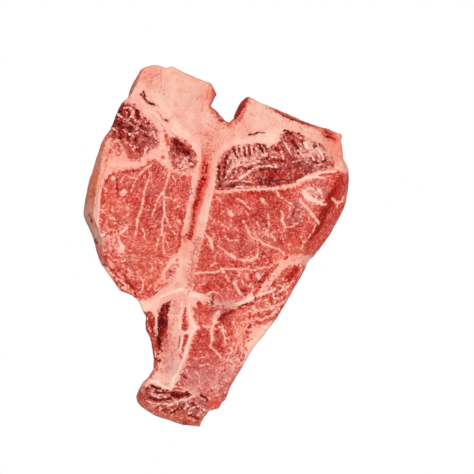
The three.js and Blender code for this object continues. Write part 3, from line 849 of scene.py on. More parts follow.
# %% Dark streaks in the lower muscles, the tail, the rind and the bone
DARK_STREAKS += [
    # seam, hollow and streaks of the lower muscles
    (3.4, 2.2, (238, 308.5), (246, 304.5), (253, 303)),
    (4.4, 3.4, (219, 319), (225, 315), (234, 310)), (2.2, 1.8, (216, 328), (217, 333)),
    (1.2, 1, (200, 362), (207, 366), (213, 364)), (1.2, 1, (186, 366), (193, 368), (200, 367)),
    (1.4, 1, (190, 350), (200, 350), (209, 349)), (2.2, 1.6, (182, 374), (186, 378)),
    (2.2, 1.6, (249, 312), (254, 317)), (4, 3.6, (273, 297), (281, 291)),
    (5, 6, (284, 281), (291, 276), (296, 270)), (1.8, 2.2, (207.5, 287), (212, 292), (213.5, 299)),
    # tail
    (4, 3.4, (150, 398), (160, 400), (170, 399)), (4.6, 5, (172, 394), (179, 396), (188, 394)),
    (4, 4.4, (162, 410), (172, 412), (181, 408)), (4.2, 3, (192, 404), (198, 408)),
    (3.4, 2.6, (190, 415), (198, 419)), (2.4, 2.4, (192.5, 404), (197, 406)),
    (3, 2.4, (184, 423), (190, 425.5)), (3.6, 3, (156, 391), (164, 393)),
    # slits in the rind, painted shade in their gaps
    (2, 1.6, (89, 215), (91, 220), (91.8, 224)), (3, 3.4, (94, 239.5), (96.6, 243)),
    (1.4, 1.2, (87, 228), (90, 232)), (1.8, 1.4, (102, 264), (106, 266)),
    # beside the notch and on the spinous process
    (4, 5.4, (247, 97), (243.5, 103)), (5.4, 4.6, (243.5, 103), (240, 110), (236.5, 116)),
    (4.6, 2.6, (236.5, 116), (231.5, 120)), (2.2, 1.6, (219.5, 119.8), (225.5, 121.6)),
    (1.4, 1.2, (209.5, 108)), (0.9, 0.8, (213, 101), (211.5, 104)),
    (1, 0.8, (216, 113.5), (218, 117)), (0.9, 0.7, (216, 117), (219.5, 115.5)),
    (1.6, 1.8, (272.5, 107), (276, 110.5), (280, 113)),
    (2.2, 2.8, (280, 113.5), (288, 117.5), (296, 120), (304, 123)),
    (2.6, 1.8, (304, 123), (316, 126.5)), (2.8, 2.2, (325, 131.5), (331, 135)),
    (3.2, 2.2, (328, 136.5), (335, 139.5)), (2, 1.4, (322, 134), (326, 137)),
    (1, 0.9, (234, 135.5)),
]
print(len(DARK_STREAKS), "dark streaks")

# %% [markdown]
# Blood has soaked into the meat beside the bone, the rim of the notch, the side of the strip loin
# and the lower end of the rind. The marrow is a chain of short strokes down the stem.

# %% Blood, bright red areas and marrow
BLOOD_SPOTS = [
    (4, 3, (183.8, 237.2), (185, 241)), (3, 3, (167, 145)), (3.6, 3, (163.5, 157)),
    (11, 9, (131, 146), (133, 154)), (10, 8, (288, 243), (298, 240)),
    (8, 9, (342, 186), (338, 203), (332, 216)), (9, 6, (332, 216), (323, 231), (313, 244)),
    (3, 2, (347, 180), (349, 192)), (4, 3, (344, 176), (338, 171)), (5, 5, (199, 304), (205, 309)),
    (6, 4, (139, 394), (141, 404)), (4, 4, (150, 411), (165, 415), (180, 420), (196, 423)),
    (9, 9, (209, 404), (219, 406)), (4, 3, (114, 205), (116, 213)),
    (5, 3.6, (102, 211), (103, 221)), (3.6, 3, (106, 255), (109, 261)),
    (7, 7, (324, 130), (335, 139)), (3.6, 4.4, (272, 109), (290, 117), (306, 124), (320, 129)),
    (3.6, 2, (230, 122), (226, 124)), (8, 9, (205.5, 165), (203.5, 182), (199, 200)),
    (9, 6, (199, 200), (194, 216), (191, 234)), (2, 1.6, (157, 358), (160, 361)),
    (2, 1.6, (156, 363), (157, 369)), (6, 4, (150, 315), (153, 322)),
    (4, 3, (151, 338), (153, 346)), (3, 2.4, (164, 335), (166, 341)),
    (3, 3, (149, 322), (150, 334)), (3, 3, (152, 340), (155, 349)),
    (2.4, 2, (157, 362), (156.6, 370)), (6, 7, (151, 334), (154, 343)),
    (7, 4, (154, 343), (157, 351)), (4, 4, (102, 186), (102.5, 206)),
    (4, 3, (247, 99), (244, 111), (239, 121)), (4, 4, (214, 90), (213, 98)),
    (5, 4, (213, 110), (220, 115)), (5, 3, (164, 330), (165, 345)), (4, 4, (168, 143), (166, 136)),
    (3.4, 3, (326, 174.5), (338, 174)), (5, 4.4, (341, 180), (341, 197)),
    (5, 5, (262, 174), (280, 176), (294, 174)),
    # lower end of the rind
    (5, 6, (97, 247), (101, 255)), (6, 4, (101, 255), (105, 264)), (3, 2, (106, 257), (108, 262)),
]
MARROW = [
    (1.4, 2.6, (205, 158), (203, 166), (202.4, 173)), (2.6, 2, (206.5, 166), (205.5, 172)),
    (6.4, 5.4, (204, 178), (199.5, 190)), (5.4, 5, (199.5, 190), (197.5, 200), (195, 208)),
    (2.2, 2.6, (195, 208), (194, 214), (193.5, 222)),
    (2.4, 4.4, (193, 226), (191.5, 232), (189.5, 237)),
]
print(len(BLOOD_SPOTS), "red spots,", len(MARROW), "lengths of marrow")

# %% [markdown]
# Muscle also shows inside the fat, as islands, and the seam beside the stem has its own streaks.

# %% Lean in the fat, and pale strands in lean
LEAN_ISLANDS = [
    (2, 4.4, (185.5, 307), (184.5, 313), (184, 319)), (5, 7, (185, 321), (185, 328)),
    (4.6, 3.6, (186.5, 336), (184.8, 343)), (3, 2.4, (183.6, 345), (182.4, 352)),
    (3, 3.4, (179.5, 337), (178, 344), (177, 351)), (2.4, 3.4, (178, 354), (181, 358)),
    (3.6, 2.6, (320, 175.6), (330, 174), (338, 173.4)), (4.4, 4.4, (199, 304), (205, 309)),
    (2.2, 1.8, (195, 312), (198, 318)), (3.2, 2.8, (163.5, 157)),
    (2.6, 2.2, (205, 318), (210, 322)),
    # low at the left, where the tenderloin thins out under its cover
    (4, 3, (100, 252), (104, 259)), (3.6, 3.2, (106, 262), (112, 270), (118, 277)),
    (2.6, 2.4, (113, 278), (119, 286)), (3, 2.4, (122, 291), (131, 293.5)),
    # along the lower seam and above the tail
    (5, 6, (255, 294), (259, 285), (264, 277)), (6, 4, (264, 277), (270, 270), (277, 265)),
    (6, 7, (177, 383.5), (185, 384), (193, 387)), (4, 3, (173, 389), (182, 389.5)),
    (2, 1.6, (206, 303), (216, 306), (224, 306)), (2, 1.6, (286, 255), (296, 252), (306, 250.5)),
    # both sides of the band of fat that runs to the lower right
    (3.4, 3, (262, 300), (271, 295), (278, 288)), (3, 2.2, (279, 287), (285, 279), (291, 271)),
    (2.4, 1.6, (296, 268), (303, 266)), (2.6, 2, (285, 259), (290, 253), (299, 249)),
    (1.8, 1.4, (301, 246), (308, 244)), (2.2, 1.8, (268, 279), (273, 271)),
    # flecks in the cover and the seam
    (1.6, 1.2, (113, 143), (115, 149)), (1.4, 1, (110, 150), (112, 158)),
    (1.2, 1, (104, 163), (107, 160)), (1, 0.8, (97.5, 168), (95.5, 182)),
    (1, 0.8, (95, 190), (94.5, 206)), (1.4, 1, (166, 132), (167, 140)),
    (1.6, 1.2, (240, 308), (234, 309)), (1.2, 1, (118, 146), (122, 151)),
    # under the narrow muscles beside the stem
    (5, 7, (151.5, 334), (153.5, 342)), (7, 4, (153.5, 342), (156.5, 350)),
    (4, 2, (156.5, 350), (158.4, 355)), (2.6, 1.8, (158.4, 361.5), (157, 369)),
]
print(len(LEAN_ISLANDS), "islands of lean")

# %% [markdown]
# The tough white skins between the muscles are the palest things on the steak, and the same kind of stroke
# paints a few glints of light on the wet strip loin and on fat in the tenderloin. Beside the bone lie smooth
# bands of fat without any grain, and the bone itself is crossed by a few faint lines.

# %% White skins and painted glints, smooth bands and faint lines
WHITE_SKINS_AND_GLINTS = [
    (1.2, 1.6, (144, 109), (153, 112.5), (160, 118)),
    (1.6, 1.2, (172, 129), (179, 135), (187, 138)),
    (2.2, 2, (189.5, 303), (189.5, 312), (190.5, 318), (193, 324), (198, 328)),
    (3, 2.2, (196, 327), (191.5, 334), (188, 344), (185.5, 354), (183, 361)),
    (3.4, 2.4, (190, 331), (185.5, 333)),
    (1.4, 1.2, (182, 303), (181.5, 312), (180, 320), (179.5, 329)),
    (1.4, 1.4, (182, 338), (181, 346), (179, 353)),
    (1.4, 2.6, (182, 363), (179.5, 369), (177, 374)),
    (2.6, 4.6, (177, 374), (173.5, 379), (173, 384), (171, 388)), (1.8, 3, (179, 377), (175, 383)),
    (3.2, 2.4, (151, 381.5), (157, 381.5), (161, 385), (165, 388.5), (170, 388)),
    (2, 2.4, (237, 304), (243, 302), (250, 299), (256, 297.5), (262, 294.5), (268, 292), (275, 289)),
    (1.6, 1.6, (163, 164)), (6, 4, (192, 294), (199, 296)),
    (1.8, 1.4, (97, 229), (98.5, 215), (99.2, 201), (100.5, 190), (103, 180)),
    (4, 2.6, (97.5, 235), (104, 235)),
    (1.3, 1.1, (155.8, 312), (156.3, 320), (156.5, 330), (157.5, 334)),
    (3, 2.2, (262, 326), (268, 328)), (1.6, 3.4, (160, 297), (170, 293), (182, 289)),
    (1.6, 1.2, (155, 352), (156, 357)), (2.4, 1.8, (259, 132), (268, 135), (276, 136)),
    (3.6, 3, (305, 143), (307, 148)), (2.2, 1.8, (318, 148), (323, 157)),
    (1.8, 1.2, (315, 175), (321, 172.6), (328, 171.8), (335, 172)),
    # painted glints of light on the wet strip loin, in the next three rows
    (4.4, 4.6, (304, 192), (307, 196.5)), (5, 4, (309, 198), (315, 200.5)),
    (2.6, 1.8, (317, 202), (323, 204.5)), (2.4, 1.8, (318, 189), (321, 193)),
    (2, 1.4, (311, 188), (314, 190)),
    (2.4, 1.8, (298, 181), (308, 177.4), (317, 176.8), (324, 178.6)),
    # painted glints of light on the fat blobs of the tenderloin, in these last two rows
    (2, 1.6, (122, 192), (124, 191)), (2.4, 1.8, (121, 248), (122.5, 246)),
    (2, 1.6, (120, 233), (124, 231)),
]
SMOOTH_BANDS = [
    (5, 6, (151, 92), (163, 106), (176, 122)),
    (5, 6, (176, 126), (188, 136), (195.5, 147), (199.5, 160)),
    (5, 3.6, (199.5, 160), (197.5, 180), (193, 198), (189.5, 214)),
    (4, 5, (248, 141), (234, 142), (223, 147), (216.5, 157)),
    (4.6, 3.4, (216.5, 157), (214.5, 175), (211, 195), (207, 215), (203, 235)),
    (3.6, 6, (258, 139), (270, 140), (279, 143)), (3, 3, (224, 189), (240, 188.5), (254, 188.5)),
    (4, 5.4, (254, 188.5), (270, 186.5), (286, 182.5), (298, 178), (310, 175.5)),
    (5, 4, (112, 164), (124, 164.5), (136, 163.5)), (4, 6, (170, 300), (172, 315), (174, 330)),
    (8, 9, (186, 290), (180, 276), (186, 262)),
]
FAINT_LINES = [
    (0.9, 0.7, (208, 124), (212, 127.5), (218, 129.5), (224, 128), (224.5, 123.5)),
    (0.8, 0.6, (209.5, 85), (207.8, 92), (207.5, 99)),
    (0.9, 0.8, (203.5, 103), (202.4, 107), (202, 111)),
    (1.1, 0.8, (160.5, 69), (161, 76), (161, 83)), (0.7, 0.6, (193, 99), (196, 97), (199, 101)),
    (0.7, 0.5, (195, 102), (198, 99), (200, 97)), (1, 0.8, (151, 78), (155, 75.5), (159, 74)),
    (0.9, 0.7, (108, 152), (107.5, 160), (105.5, 167), (103.5, 175), (101, 183)),
    (0.9, 0.7, (99, 186), (97, 197), (95.5, 207)),
    (1.1, 0.8, (172, 352), (173, 358), (171, 364), (171.6, 369)),
    (1, 0.7, (166, 340), (168, 347), (166, 354)), (0.9, 0.6, (165, 369), (168, 373)),
    (0.9, 0.7, (161.5, 383), (164, 384.5), (168, 383.5)),
    (1, 0.7, (172, 133), (177, 137), (184, 140)), (0.8, 0.6, (157, 105), (159.5, 108.5)),
    (0.8, 0.6, (158, 112), (161, 115), (161.5, 118)),
    (0.9, 0.6, (191, 304), (192.5, 309), (195, 312)),
    (1.2, 0.9, (196, 241), (194, 253), (192, 265), (191, 280)),
    (0.9, 0.7, (300, 134), (306, 137), (311, 138)),
    (1.1, 0.9, (157.5, 111), (160, 115.5), (161.5, 118.5), (164, 119.4)),
    (0.9, 0.7, (187, 316), (189, 320)), (0.8, 0.6, (262, 133), (267, 132.5)),
    (0.9, 0.7, (208, 152), (211, 156), (212, 161)), (1, 0.8, (251, 114), (255, 116)),
]
SKIN_STROKES = [
    (6, 9, (103, 140), (99, 155), (95.5, 168)), (9, 12, (95.5, 168), (92, 183), (89, 198)),
    (12, 9, (89, 198), (88, 210), (88.5, 222)), (7, 5, (88.5, 222), (92, 235), (97, 247)),
    (5, 4, (97, 247), (102, 258), (108, 266)), (6, 5, (140, 69), (135.5, 79), (130, 88)),
    (4, 3, (146, 379), (141, 385)),
]
print(len(WHITE_SKINS_AND_GLINTS), "skins,", len(SMOOTH_BANDS), "bands,", len(FAINT_LINES), "faint lines")

# %% [markdown]
# Much of the fat and blood lies in crumbs rather than in lines. Placing each by hand would take as
# many lines again, and noise can't keep to one place. So short strokes are strewn along a run by a
# random generator with a seed of its own, which gives the same crumbs every time.

# %% Crumbs strewn along a run
HALF_LENGTHS = (0.2, 1.4)  # in picture points
WIDTH_SHARES = (0.6, 1.2)


def crumbs(count, width, stray, run, seed):
    """Short strokes strewn along a run: how many, their width, and how far they stray from it."""
    random = np.random.default_rng(seed)
    run = np.array(run, float)
    gone = np.concatenate([[0], np.cumsum(np.linalg.norm(np.diff(run, axis=0), axis=1))])
    spot = random.uniform(0, gone[-1], count)
    middle = np.stack([np.interp(spot, gone, run[:, side]) for side in (0, 1)], 1)
    middle += random.normal(0, stray, (count, 2))
    turn = random.uniform(0, np.pi, count)
    half = np.stack([np.cos(turn), np.sin(turn)], 1) * random.uniform(*HALF_LENGTHS, (count, 1))
    widths = width * random.uniform(*WIDTH_SHARES, (count, 2))
    return [(*wide, tuple(mid - arm), tuple(mid + arm)) for wide, mid, arm in zip(widths, middle, half)]


NOTCH_RIM = [(212, 109), (219, 118), (227, 123), (236, 120), (242, 114), (246, 104)]
STREWN = [  # kind, how many, width and stray in picture points, run, seed
    # crumbs of fat in the muscles
    ("vein", 46, 1.5, 2.8, [(229, 174), (236, 162), (248, 160), (268, 156)], 21),
    ("vein", 40, 1.5, 4, [(298, 146), (312, 152), (324, 158)], 22),
    ("vein", 24, 1.4, 3, [(180, 160), (188, 168)], 23),
    ("vein", 14, 0.7, 6, [(124, 116), (140, 130), (132, 148)], 29),
    ("vein", 12, 0.5, 1.6, [(149, 315), (149, 324), (151, 334)], 53),
    ("vein", 70, 1.5, 6, [(250, 318), (270, 305), (286, 290)], 24),
    ("vein", 40, 1.4, 4, [(248, 318), (238, 340), (232, 358)], 25),
    ("vein", 46, 1.3, 5, [(236, 360), (228, 378), (212, 392)], 37),
    ("vein", 16, 2, 1.6, [(218, 314), (213, 327), (211, 342)], 39),
    ("vein", 14, 1.4, 2.4, [(206, 326), (222, 328), (226, 342)], 40),
    ("vein", 26, 0.8, 5, [(146, 402), (166, 408), (186, 412), (204, 416)], 41),
    ("vein", 22, 1.3, 1.6, [(150, 413), (164, 420), (182, 427), (198, 431)], 43),
    ("vein", 46, 1.2, 7, [(238, 266), (262, 276), (250, 292)], 26),
    ("vein", 36, 1.2, 6, [(262, 240), (288, 228), (300, 206)], 27),
    ("vein", 34, 1.8, 3, [(302, 189), (311, 195), (320, 203)], 44),
    ("vein", 50, 1.2, 6, [(106, 206), (108, 232), (122, 262)], 28),
    # dark ones in the lower muscles, the strip loin and the narrow muscles
    ("dark", 40, 2.2, 6, [(252, 318), (272, 302), (290, 282)], 31),
    ("dark", 30, 1.6, 6, [(240, 268), (262, 280), (252, 290)], 32),
    ("dark", 26, 2.2, 5, [(126, 112), (140, 128), (134, 148)], 33),
    ("dark", 18, 1.2, 3, [(104, 250), (112, 270), (126, 288)], 34),
    ("dark", 20, 1.4, 5, [(234, 362), (226, 380), (214, 392)], 35),
    ("dark", 20, 1.8, 2, [(150, 314), (151, 330), (154, 350)], 36),
    ("dark", 16, 1.3, 3, [(238, 320), (233, 336), (226, 352)], 38),
    ("dark", 20, 1.5, 3, [(152, 336), (155, 344), (158, 354)], 45),
    ("dark", 9, 1.2, 3, [(305, 189), (312, 193), (317, 198)], 47),
    ("dark", 18, 1.6, 4, [(150, 402), (168, 406), (190, 410)], 42),
    # blood round the notch and beside the lower end of the tenderloin
    ("blood", 54, 2, 2, NOTCH_RIM, 52),
    ("blood", 30, 2, 2, [(177, 262), (171, 272), (164, 283), (158, 291)], 51),
    # lean in the fat
    ("island", 30, 1.5, 2.4, [(113, 141), (118, 149), (112, 158)], 3),
    ("island", 14, 1.2, 2.2, [(280, 252), (292, 250), (302, 252)], 8),
    ("island", 24, 1.4, 2, [(102, 250), (110, 268), (124, 288)], 4),
    ("island", 60, 1.7, 2.4, [(250, 326), (245, 340), (239, 360)], 5),
    ("island", 16, 1.3, 1.4, [(176, 264), (166, 278), (157, 292)], 7),
    ("island", 14, 1.2, 1.6, [(163, 127), (167, 140), (165, 152)], 6),
    # faint marks on bone and fat
    ("faint", 90, 1.3, 3, [(198, 240), (195, 262), (190, 292)], 11),
    ("faint", 44, 1.5, 0.9, [(206, 232), (204.5, 256), (202, 280), (200, 296)], 12),
    ("faint", 60, 1.1, 3.2, [(176, 302), (170, 330), (165, 352), (164, 374)], 13),
    ("faint", 40, 1, 4, [(208, 134), (209, 148), (205, 160)], 14),
    ("faint", 30, 1, 3, [(214, 88), (213, 104), (222, 122), (238, 124)], 15),
    ("faint", 22, 1, 2, [(262, 104), (290, 122), (318, 132), (336, 142)], 16),
    ("faint", 20, 0.9, 4, [(144, 74), (152, 84), (168, 92)], 17),
    ("faint", 24, 1, 2.6, [(276, 256), (292, 254), (305, 259)], 18),
    ("faint", 34, 1.2, 2.2, NOTCH_RIM, 19),
]
print(sum(row[1] for row in STREWN), "crumbs")

# %% [markdown]
# ## From the flat net to a solid steak
# Every point of the net gets a height for the upper face and lies at zero for the lower one. Round
# the rim a column of points leans out to the trimmed edge and back under the foot.

# %% Height of every point
FACE_BLEND = 0.7
INNER = 0.3
steak_points = np.unique(triangles)
edge_far, edge_spot = np.zeros(len(net)), np.zeros((len(net), 2))
SLOPE_REACH = 14.0
edge_far[steak_points], edge_spot[steak_points] = nearest_within(EDGE, net[steak_points], SLOPE_REACH)
rim_width = hills(edge_spot, RIM_SLOPES, RIM_ROUNDING)
face = hills(net, FACE_RELIEF, THICKNESS)
sloping = wall_height(edge_far, rim_width)
blend = np.clip(0.5 + (sloping - face) / (2 * FACE_BLEND), 0, 1)
height = face * blend + sloping * (1 - blend) - FACE_BLEND * blend * (1 - blend)
slope = np.clip((face - height) / THICKNESS, 0, 1)

SLOTS = {row["node"]: row["material_slot"] for row in frame["record"]["subparts"]}


def distance_to_seams(names):
    """Distance in mm from each point to the inner outlines of the named pieces."""
    cuts = np.concatenate([OUTLINES[name] for name in names])
    cuts = cuts[nearest_on(EDGE, cuts.mean(1))[0] > INNER]
    far = np.full(len(net), FAR)
    far[steak_points] = nearest_within(cuts, net[steak_points], FAR)[0]
    return far


seam_far = distance_to_seams(OUTLINES)
meat_far = distance_to_seams([name for name in OUTLINES if "lean" in SLOTS[name]])

CLEFT_DEPTH = 1.5
CLEFT_START = 0.35  # share of the depth right at the side of the stroke
SEAM_DEPTH = 0.25
GROOVE_WIDTH = 0.6
SWELLS = (0.10, 4.5, 11)  # height and size in mm, seed
RIPPLES = (0.05, 1.5, 21)
cleft_share = np.clip(CLEFT_START - cleft_far / GROOVE_WIDTH, 0, 1)
height -= CLEFT_DEPTH * cleft_share * (1 - slope)
height -= SEAM_DEPTH * np.exp(-((seam_far / GROOVE_WIDTH) ** 2))
for high, size, seed in (SWELLS, RIPPLES):
    height += high * rough(net, size, seed)
print("upper face from", height[steak_points].min().round(1), "to", height[steak_points].max().round(1))

# %% Columns of the outer wall
WALL_TOP = [0, 0.025, 0.06, 0.11, 0.17, 0.24, 0.31, 0.38]
WALL_FOOT = [0.46, 0.54, 0.61, 0.68, 0.76, 0.84, 0.91, 0.96, 1]
WALL_STEPS = np.array(WALL_TOP + WALL_FOOT)
STEEPEST = 1.12  # how much farther than its neighbours a column may lean
CAUTION = 0.95  # share of the distance that is walked at a time
CRAGS = (0.22, 3.2, 31)  # depth and size in mm, seed
rim_points = np.flatnonzero(on_rim)
outgoing = np.zeros_like(net)
outgoing[rim_points] = edge_spot[rim_points] - net[rim_points]
for _ in range(6):
    averages(outgoing, rim[:, :2], 0.5, on_rim)
outgoing[rim_points] /= np.linalg.norm(outgoing[rim_points], axis=1)[:, None]


def walk_to_edge(points, ways):
    """How far each point is from the trimmed edge along its own way."""
    gone = np.zeros(len(points))
    for _ in range(8):
        far, _ = nearest_on(EDGE, points + ways * gone[:, None])
        gone += far * CAUTION
        gone = np.minimum(gone, 3 * FOOT)
    return gone


def least_beside(values):
    """For each net point, the least value of its neighbours along the rim."""
    least = np.full(len(net), np.inf)
    for a, b in ((0, 1), (1, 0)):
        np.minimum.at(least, rim[:, a], values[rim[:, b]])
    return least


reach = np.zeros((len(net), 1))
reach[rim_points, 0] = walk_to_edge(net[rim_points], outgoing[rim_points])
for _ in range(4):
    beside = least_beside(reach[:, 0])[rim_points]
    reach[rim_points, 0] = np.minimum(reach[rim_points, 0], STEEPEST * beside)
averages(reach, rim[:, :2], 0.5, on_rim)
reach = reach[rim_points, 0]

level = height[rim_points, None] * (1 - WALL_STEPS)
width = rim_width[rim_points, None]
wall_inset = np.interp(level, WALL_HEIGHTS, WALL_RIM_SHARE) * width
lean_in = hills(edge_spot[rim_points], THIN_PLACES, FOOT)[:, None]
wall_inset += np.interp(level, WALL_HEIGHTS, WALL_FOOT_SHARE) * lean_in
out = reach[:, None] * np.clip(1 - wall_inset / lean_in, 0, 1)
round_way = net[rim_points, 0] + 0.6 * net[rim_points, 1]
grain_at = np.stack([np.repeat(round_way[:, None], len(WALL_STEPS), 1), level * 0.7], 2)
crag_depth, crag_size, crag_seed = CRAGS
crag = rough(grain_at.reshape(-1, 2), crag_size, crag_seed).reshape(level.shape)
out = np.clip(out - crag_depth * (crag + 1) * np.sin(np.pi * WALL_STEPS), 0, None)
out[:, 0] = 0
out[:, -1] = 0
column = net[rim_points, None] + outgoing[rim_points, None] * out[:, :, None]
columns = np.concatenate([column, level[:, :, None]], 2)
column_of = np.full(len(net), -1)
column_of[rim_points] = np.arange(len(rim_points))
print("wall reach in mm:", reach.min().round(2), "to", reach.max().round(2))

# %% [markdown]
# ## What the materials know about each point
# Each list of strokes becomes one number on every point, the distance to the nearest stroke. Soft
# changes such as a greyish patch are round hills that add up. All of them are stored in the meshes
# as named attributes, and a material reads one with an Attribute node. The patches were set by
# comparing the tone of each area with the real one, so some are only faint corrections.

# %% How fat each area is
FATNESS = [  # x, y in picture points, radius in mm, amount
    # tenderloin: richer at the left and near the lower end
    (108, 238, 12, 0.35), (118, 200, 10, 0.15), (128, 268, 12, 0.25), (172, 205, 12, -0.12),
    (150, 252, 8, -0.15),
    # strip loin
    (258, 198, 10, -0.4), (220, 287, 13, -0.5), (300, 240, 9, -0.5), (312, 195, 7, 0.95),
    (341, 200, 9, -0.5), (330, 224, 9, -0.6), (316, 242, 7, -0.5), (261, 235, 5.5, 0.7),
    (290, 213, 7, 0.3), (240, 285, 8, 0.12),
    # lower muscles
    (246, 326, 6, 0.8), (247, 344, 5, 0.6), (262, 315, 8, 0.05), (223, 317, 5, -0.8),
    (199, 345, 10, -0.45), (222, 336, 9, -0.6), (190, 380, 10, 0.3), (215, 382, 12, 0.3),
    (233, 364, 5, 0.5),
    # dark muscles
    (236, 161, 5.5, 0.75), (228, 170, 4, 0.6), (250, 159, 6, 0.5), (270, 156, 5, 0.4),
    (313, 150, 5, 0.85), (325, 155, 4, 0.7), (307, 141, 4, 0.4), (262, 152, 4, 0.6),
    (301, 156, 6, 0.4), (296, 163, 4, 0.2), (276, 177, 12, -1), (300, 170, 8, -0.6),
    (222, 170, 5, -0.2), (291, 143, 4, -0.3), (120, 114, 10, -0.4), (131, 130, 12, -0.3),
    (262, 314, 9, 0.1), (241, 332, 7, 0.4), (237, 350, 6, 0.5), (150, 122, 7, 0.15),
    (117, 113, 7, -0.4), (186, 164, 4, 0.45), (180, 149, 4, -0.5),
]
print(len(FATNESS), "patches of more or less fat")

# %% Mauve, warm and dim areas
MAUVE = [
    (227, 305, 7, 0.75), (175, 277, 6, 0.3), (188, 378, 9, 0.75), (214, 382, 14, 0.7),
    (232, 370, 9, 0.35), (212, 302, 5, 0.5), (176, 308, 4, 0.4), (171, 368, 4, 0.6),
    (165, 371, 4, 0.4), (172, 352, 6, 0.5), (167, 338, 5, 0.35), (157, 83, 5, 0.25),
    (194, 99, 6, 0.25), (298, 216, 5, 0.55), (296, 207, 4, 0.5), (317, 196, 6, 0.35),
    (156, 395, 6, 0.4), (204, 411, 5, 0.3), (195, 404, 3, 0.4), (315, 155, 10, 0.45),
    (240, 165, 10, 0.15), (147, 128, 8, 0.3), (116, 147, 5, 0.45), (187, 166, 4, 0.4),
    (158, 185, 12, 0.12), (168, 362, 4, 0.4), (240, 245, 14, 0.12), (332, 222, 5, 0.25),
    (302, 257, 4, 0.4), (95, 213, 4, 0.2), (83, 212, 6, 0.7), (93, 233, 5, 0.7), (99, 243, 5, 0.6),
    (92, 158, 6, 0.5),
]
WARM = [
    (290, 254, 7, 0.5), (246, 324, 8, 0.8), (240, 336, 5, 0.6), (213, 93, 6, 1.2), (212, 104, 4, 1),
    (108, 152, 8, 0.9), (125, 161, 7, 0.6), (102, 172, 7, 0.4), (93, 180, 6, 0.8),
    (87, 196, 6, 0.6), (146, 76, 7, 0.8), (160, 283, 5, 0.6), (140, 265, 12, 0.4),
    (110, 215, 10, 0.3), (208, 160, 10, 0.6), (212, 140, 8, 0.5), (330, 136, 5, 0.9),
    (341, 150, 7, 0.9), (332, 143, 6, 0.8), (155, 68, 6, 0.4), (157, 80, 5, 0.5), (190, 77, 7, 0.4),
    (165, 250, 3, 0.3), (188, 243, 5, 0.6), (165, 348, 8, 0.5), (173, 322, 8, 0.45),
    (185, 288, 7, 0.3), (192, 262, 7, 0.35), (206, 185, 9, 0.4), (209, 95, 5, 0.25),
    (146, 306, 4, -0.3), (235, 128, 8, 0.35), (250, 127, 5, 0.4), (218, 405, 4, 0.2),
    (152, 414, 7, 0.6), (172, 424, 9, 0.8), (194, 430, 7, 0.7), (155, 350, 4, 0.5),
]
# the patches at 332, 200 and 322, 222 lie on the sloping side of the strip loin and are painted shade; the
# others only darken the tone
DIM = [
    (276, 177, 12, 0.3), (120, 113, 8, 0.25), (172, 400, 13, 0.12), (332, 200, 6, 0.35),
    (322, 222, 6, 0.35), (206, 345, 8, 0.15), (223, 317, 6, 0.35), (133, 146, 6, 0.1),
    (258, 198, 9, 0.25), (298, 235, 7, 0.2), (163, 320, 10, 0.25), (150, 320, 6, 0.15),
    (258, 226, 15, 0.2), (286, 216, 12, 0.2), (300, 236, 10, 0.15), (268, 312, 9, 0.2),
    (224, 336, 9, 0.2), (206, 376, 12, 0.2), (158, 205, 14, 0.1),
]
print(len(MAUVE) + len(WARM) + len(DIM), "patches of tint")

# %% Rind, cream and spongy bone
RIND = [
    (84, 208, 17, 1), (91, 175, 14, 1), (103, 148, 7, 0.7), (95, 243, 10, 0.9), (132, 82, 9, 0.75),
    (112, 275, 6, 0.25), (142, 378, 7, 0.3), (78, 190, 9, 1),
]
CREAM = [
    (172, 82, 12, 0.8), (196, 80, 5, 0.5), (150, 92, 7, 0.5), (168, 70, 5, 0.4), (172, 106, 9, 0.4),
    (265, 122, 9, 0.4), (297, 130, 8, 0.35), (120, 162, 8, 0.5), (147, 306, 6, 1.3),
    (168, 264, 6, 0.9), (200, 292, 7, 0.6), (232, 132, 6, 0.3), (176, 335, 6, 0.6),
    (166, 377, 8, 0.8), (178, 362, 5, 0.5), (267, 138, 9, 0.6), (193, 150, 6, 0.3),
    (101, 236, 4, 0.5), (258, 345, 9, 1.2), (250, 370, 5, 0.7), (240, 389, 6, 0.5),
]
SPONGY = [
    (166, 345, 8, 1.9), (166, 332, 5, 1.5), (172, 318, 6, 1), (176, 306, 6, 0.8),
    (169, 359, 7, 1.2), (166, 371, 5, 0.6), (197, 246, 6, 1), (193, 262, 6, 1.3), (189, 280, 6, 1),
    (212, 141, 8, 0.8), (206, 154, 6, 0.9), (225, 140, 6, 0.5), (219, 122, 5, 0.5),
    (196, 99, 6, 0.35), (156, 77, 5, 0.4), (237, 122, 4, 0.8),
]
print(len(RIND) + len(CREAM) + len(SPONGY), "patches of rind, cream and sponge")

# %% [markdown]
# Muscle fibres have a direction. Marbling runs along them, so each muscle gets coordinates of its
# own: one along the fibres, squeezed so that what is drawn in them comes out long, and one across.
# The tenderloin's fibres fan out from its upper end, so there the two are an angle and a radius.

# %% Coordinates along and across the fibres
GRAIN_ANGLE = {  # degrees anticlockwise from the x axis
    "lean_strip_loin": -42,
    "lean_lower_strip": 62,
    "lean_psoas_minor": -48,
    "lean_side_muscle": -55,
    "lean_tail": 4,
    "lean_chain_inner": 80,
    "lean_chain_outer": 80,
}
FANS = {  # centre in picture points, mean radius in mm
    "lean_tenderloin": ((166, 96), 60),
    "lean_multifidus": ((243, 92), 42),
}
SQUEEZE = 0.85
STRONG_SQUEEZE = 0.62


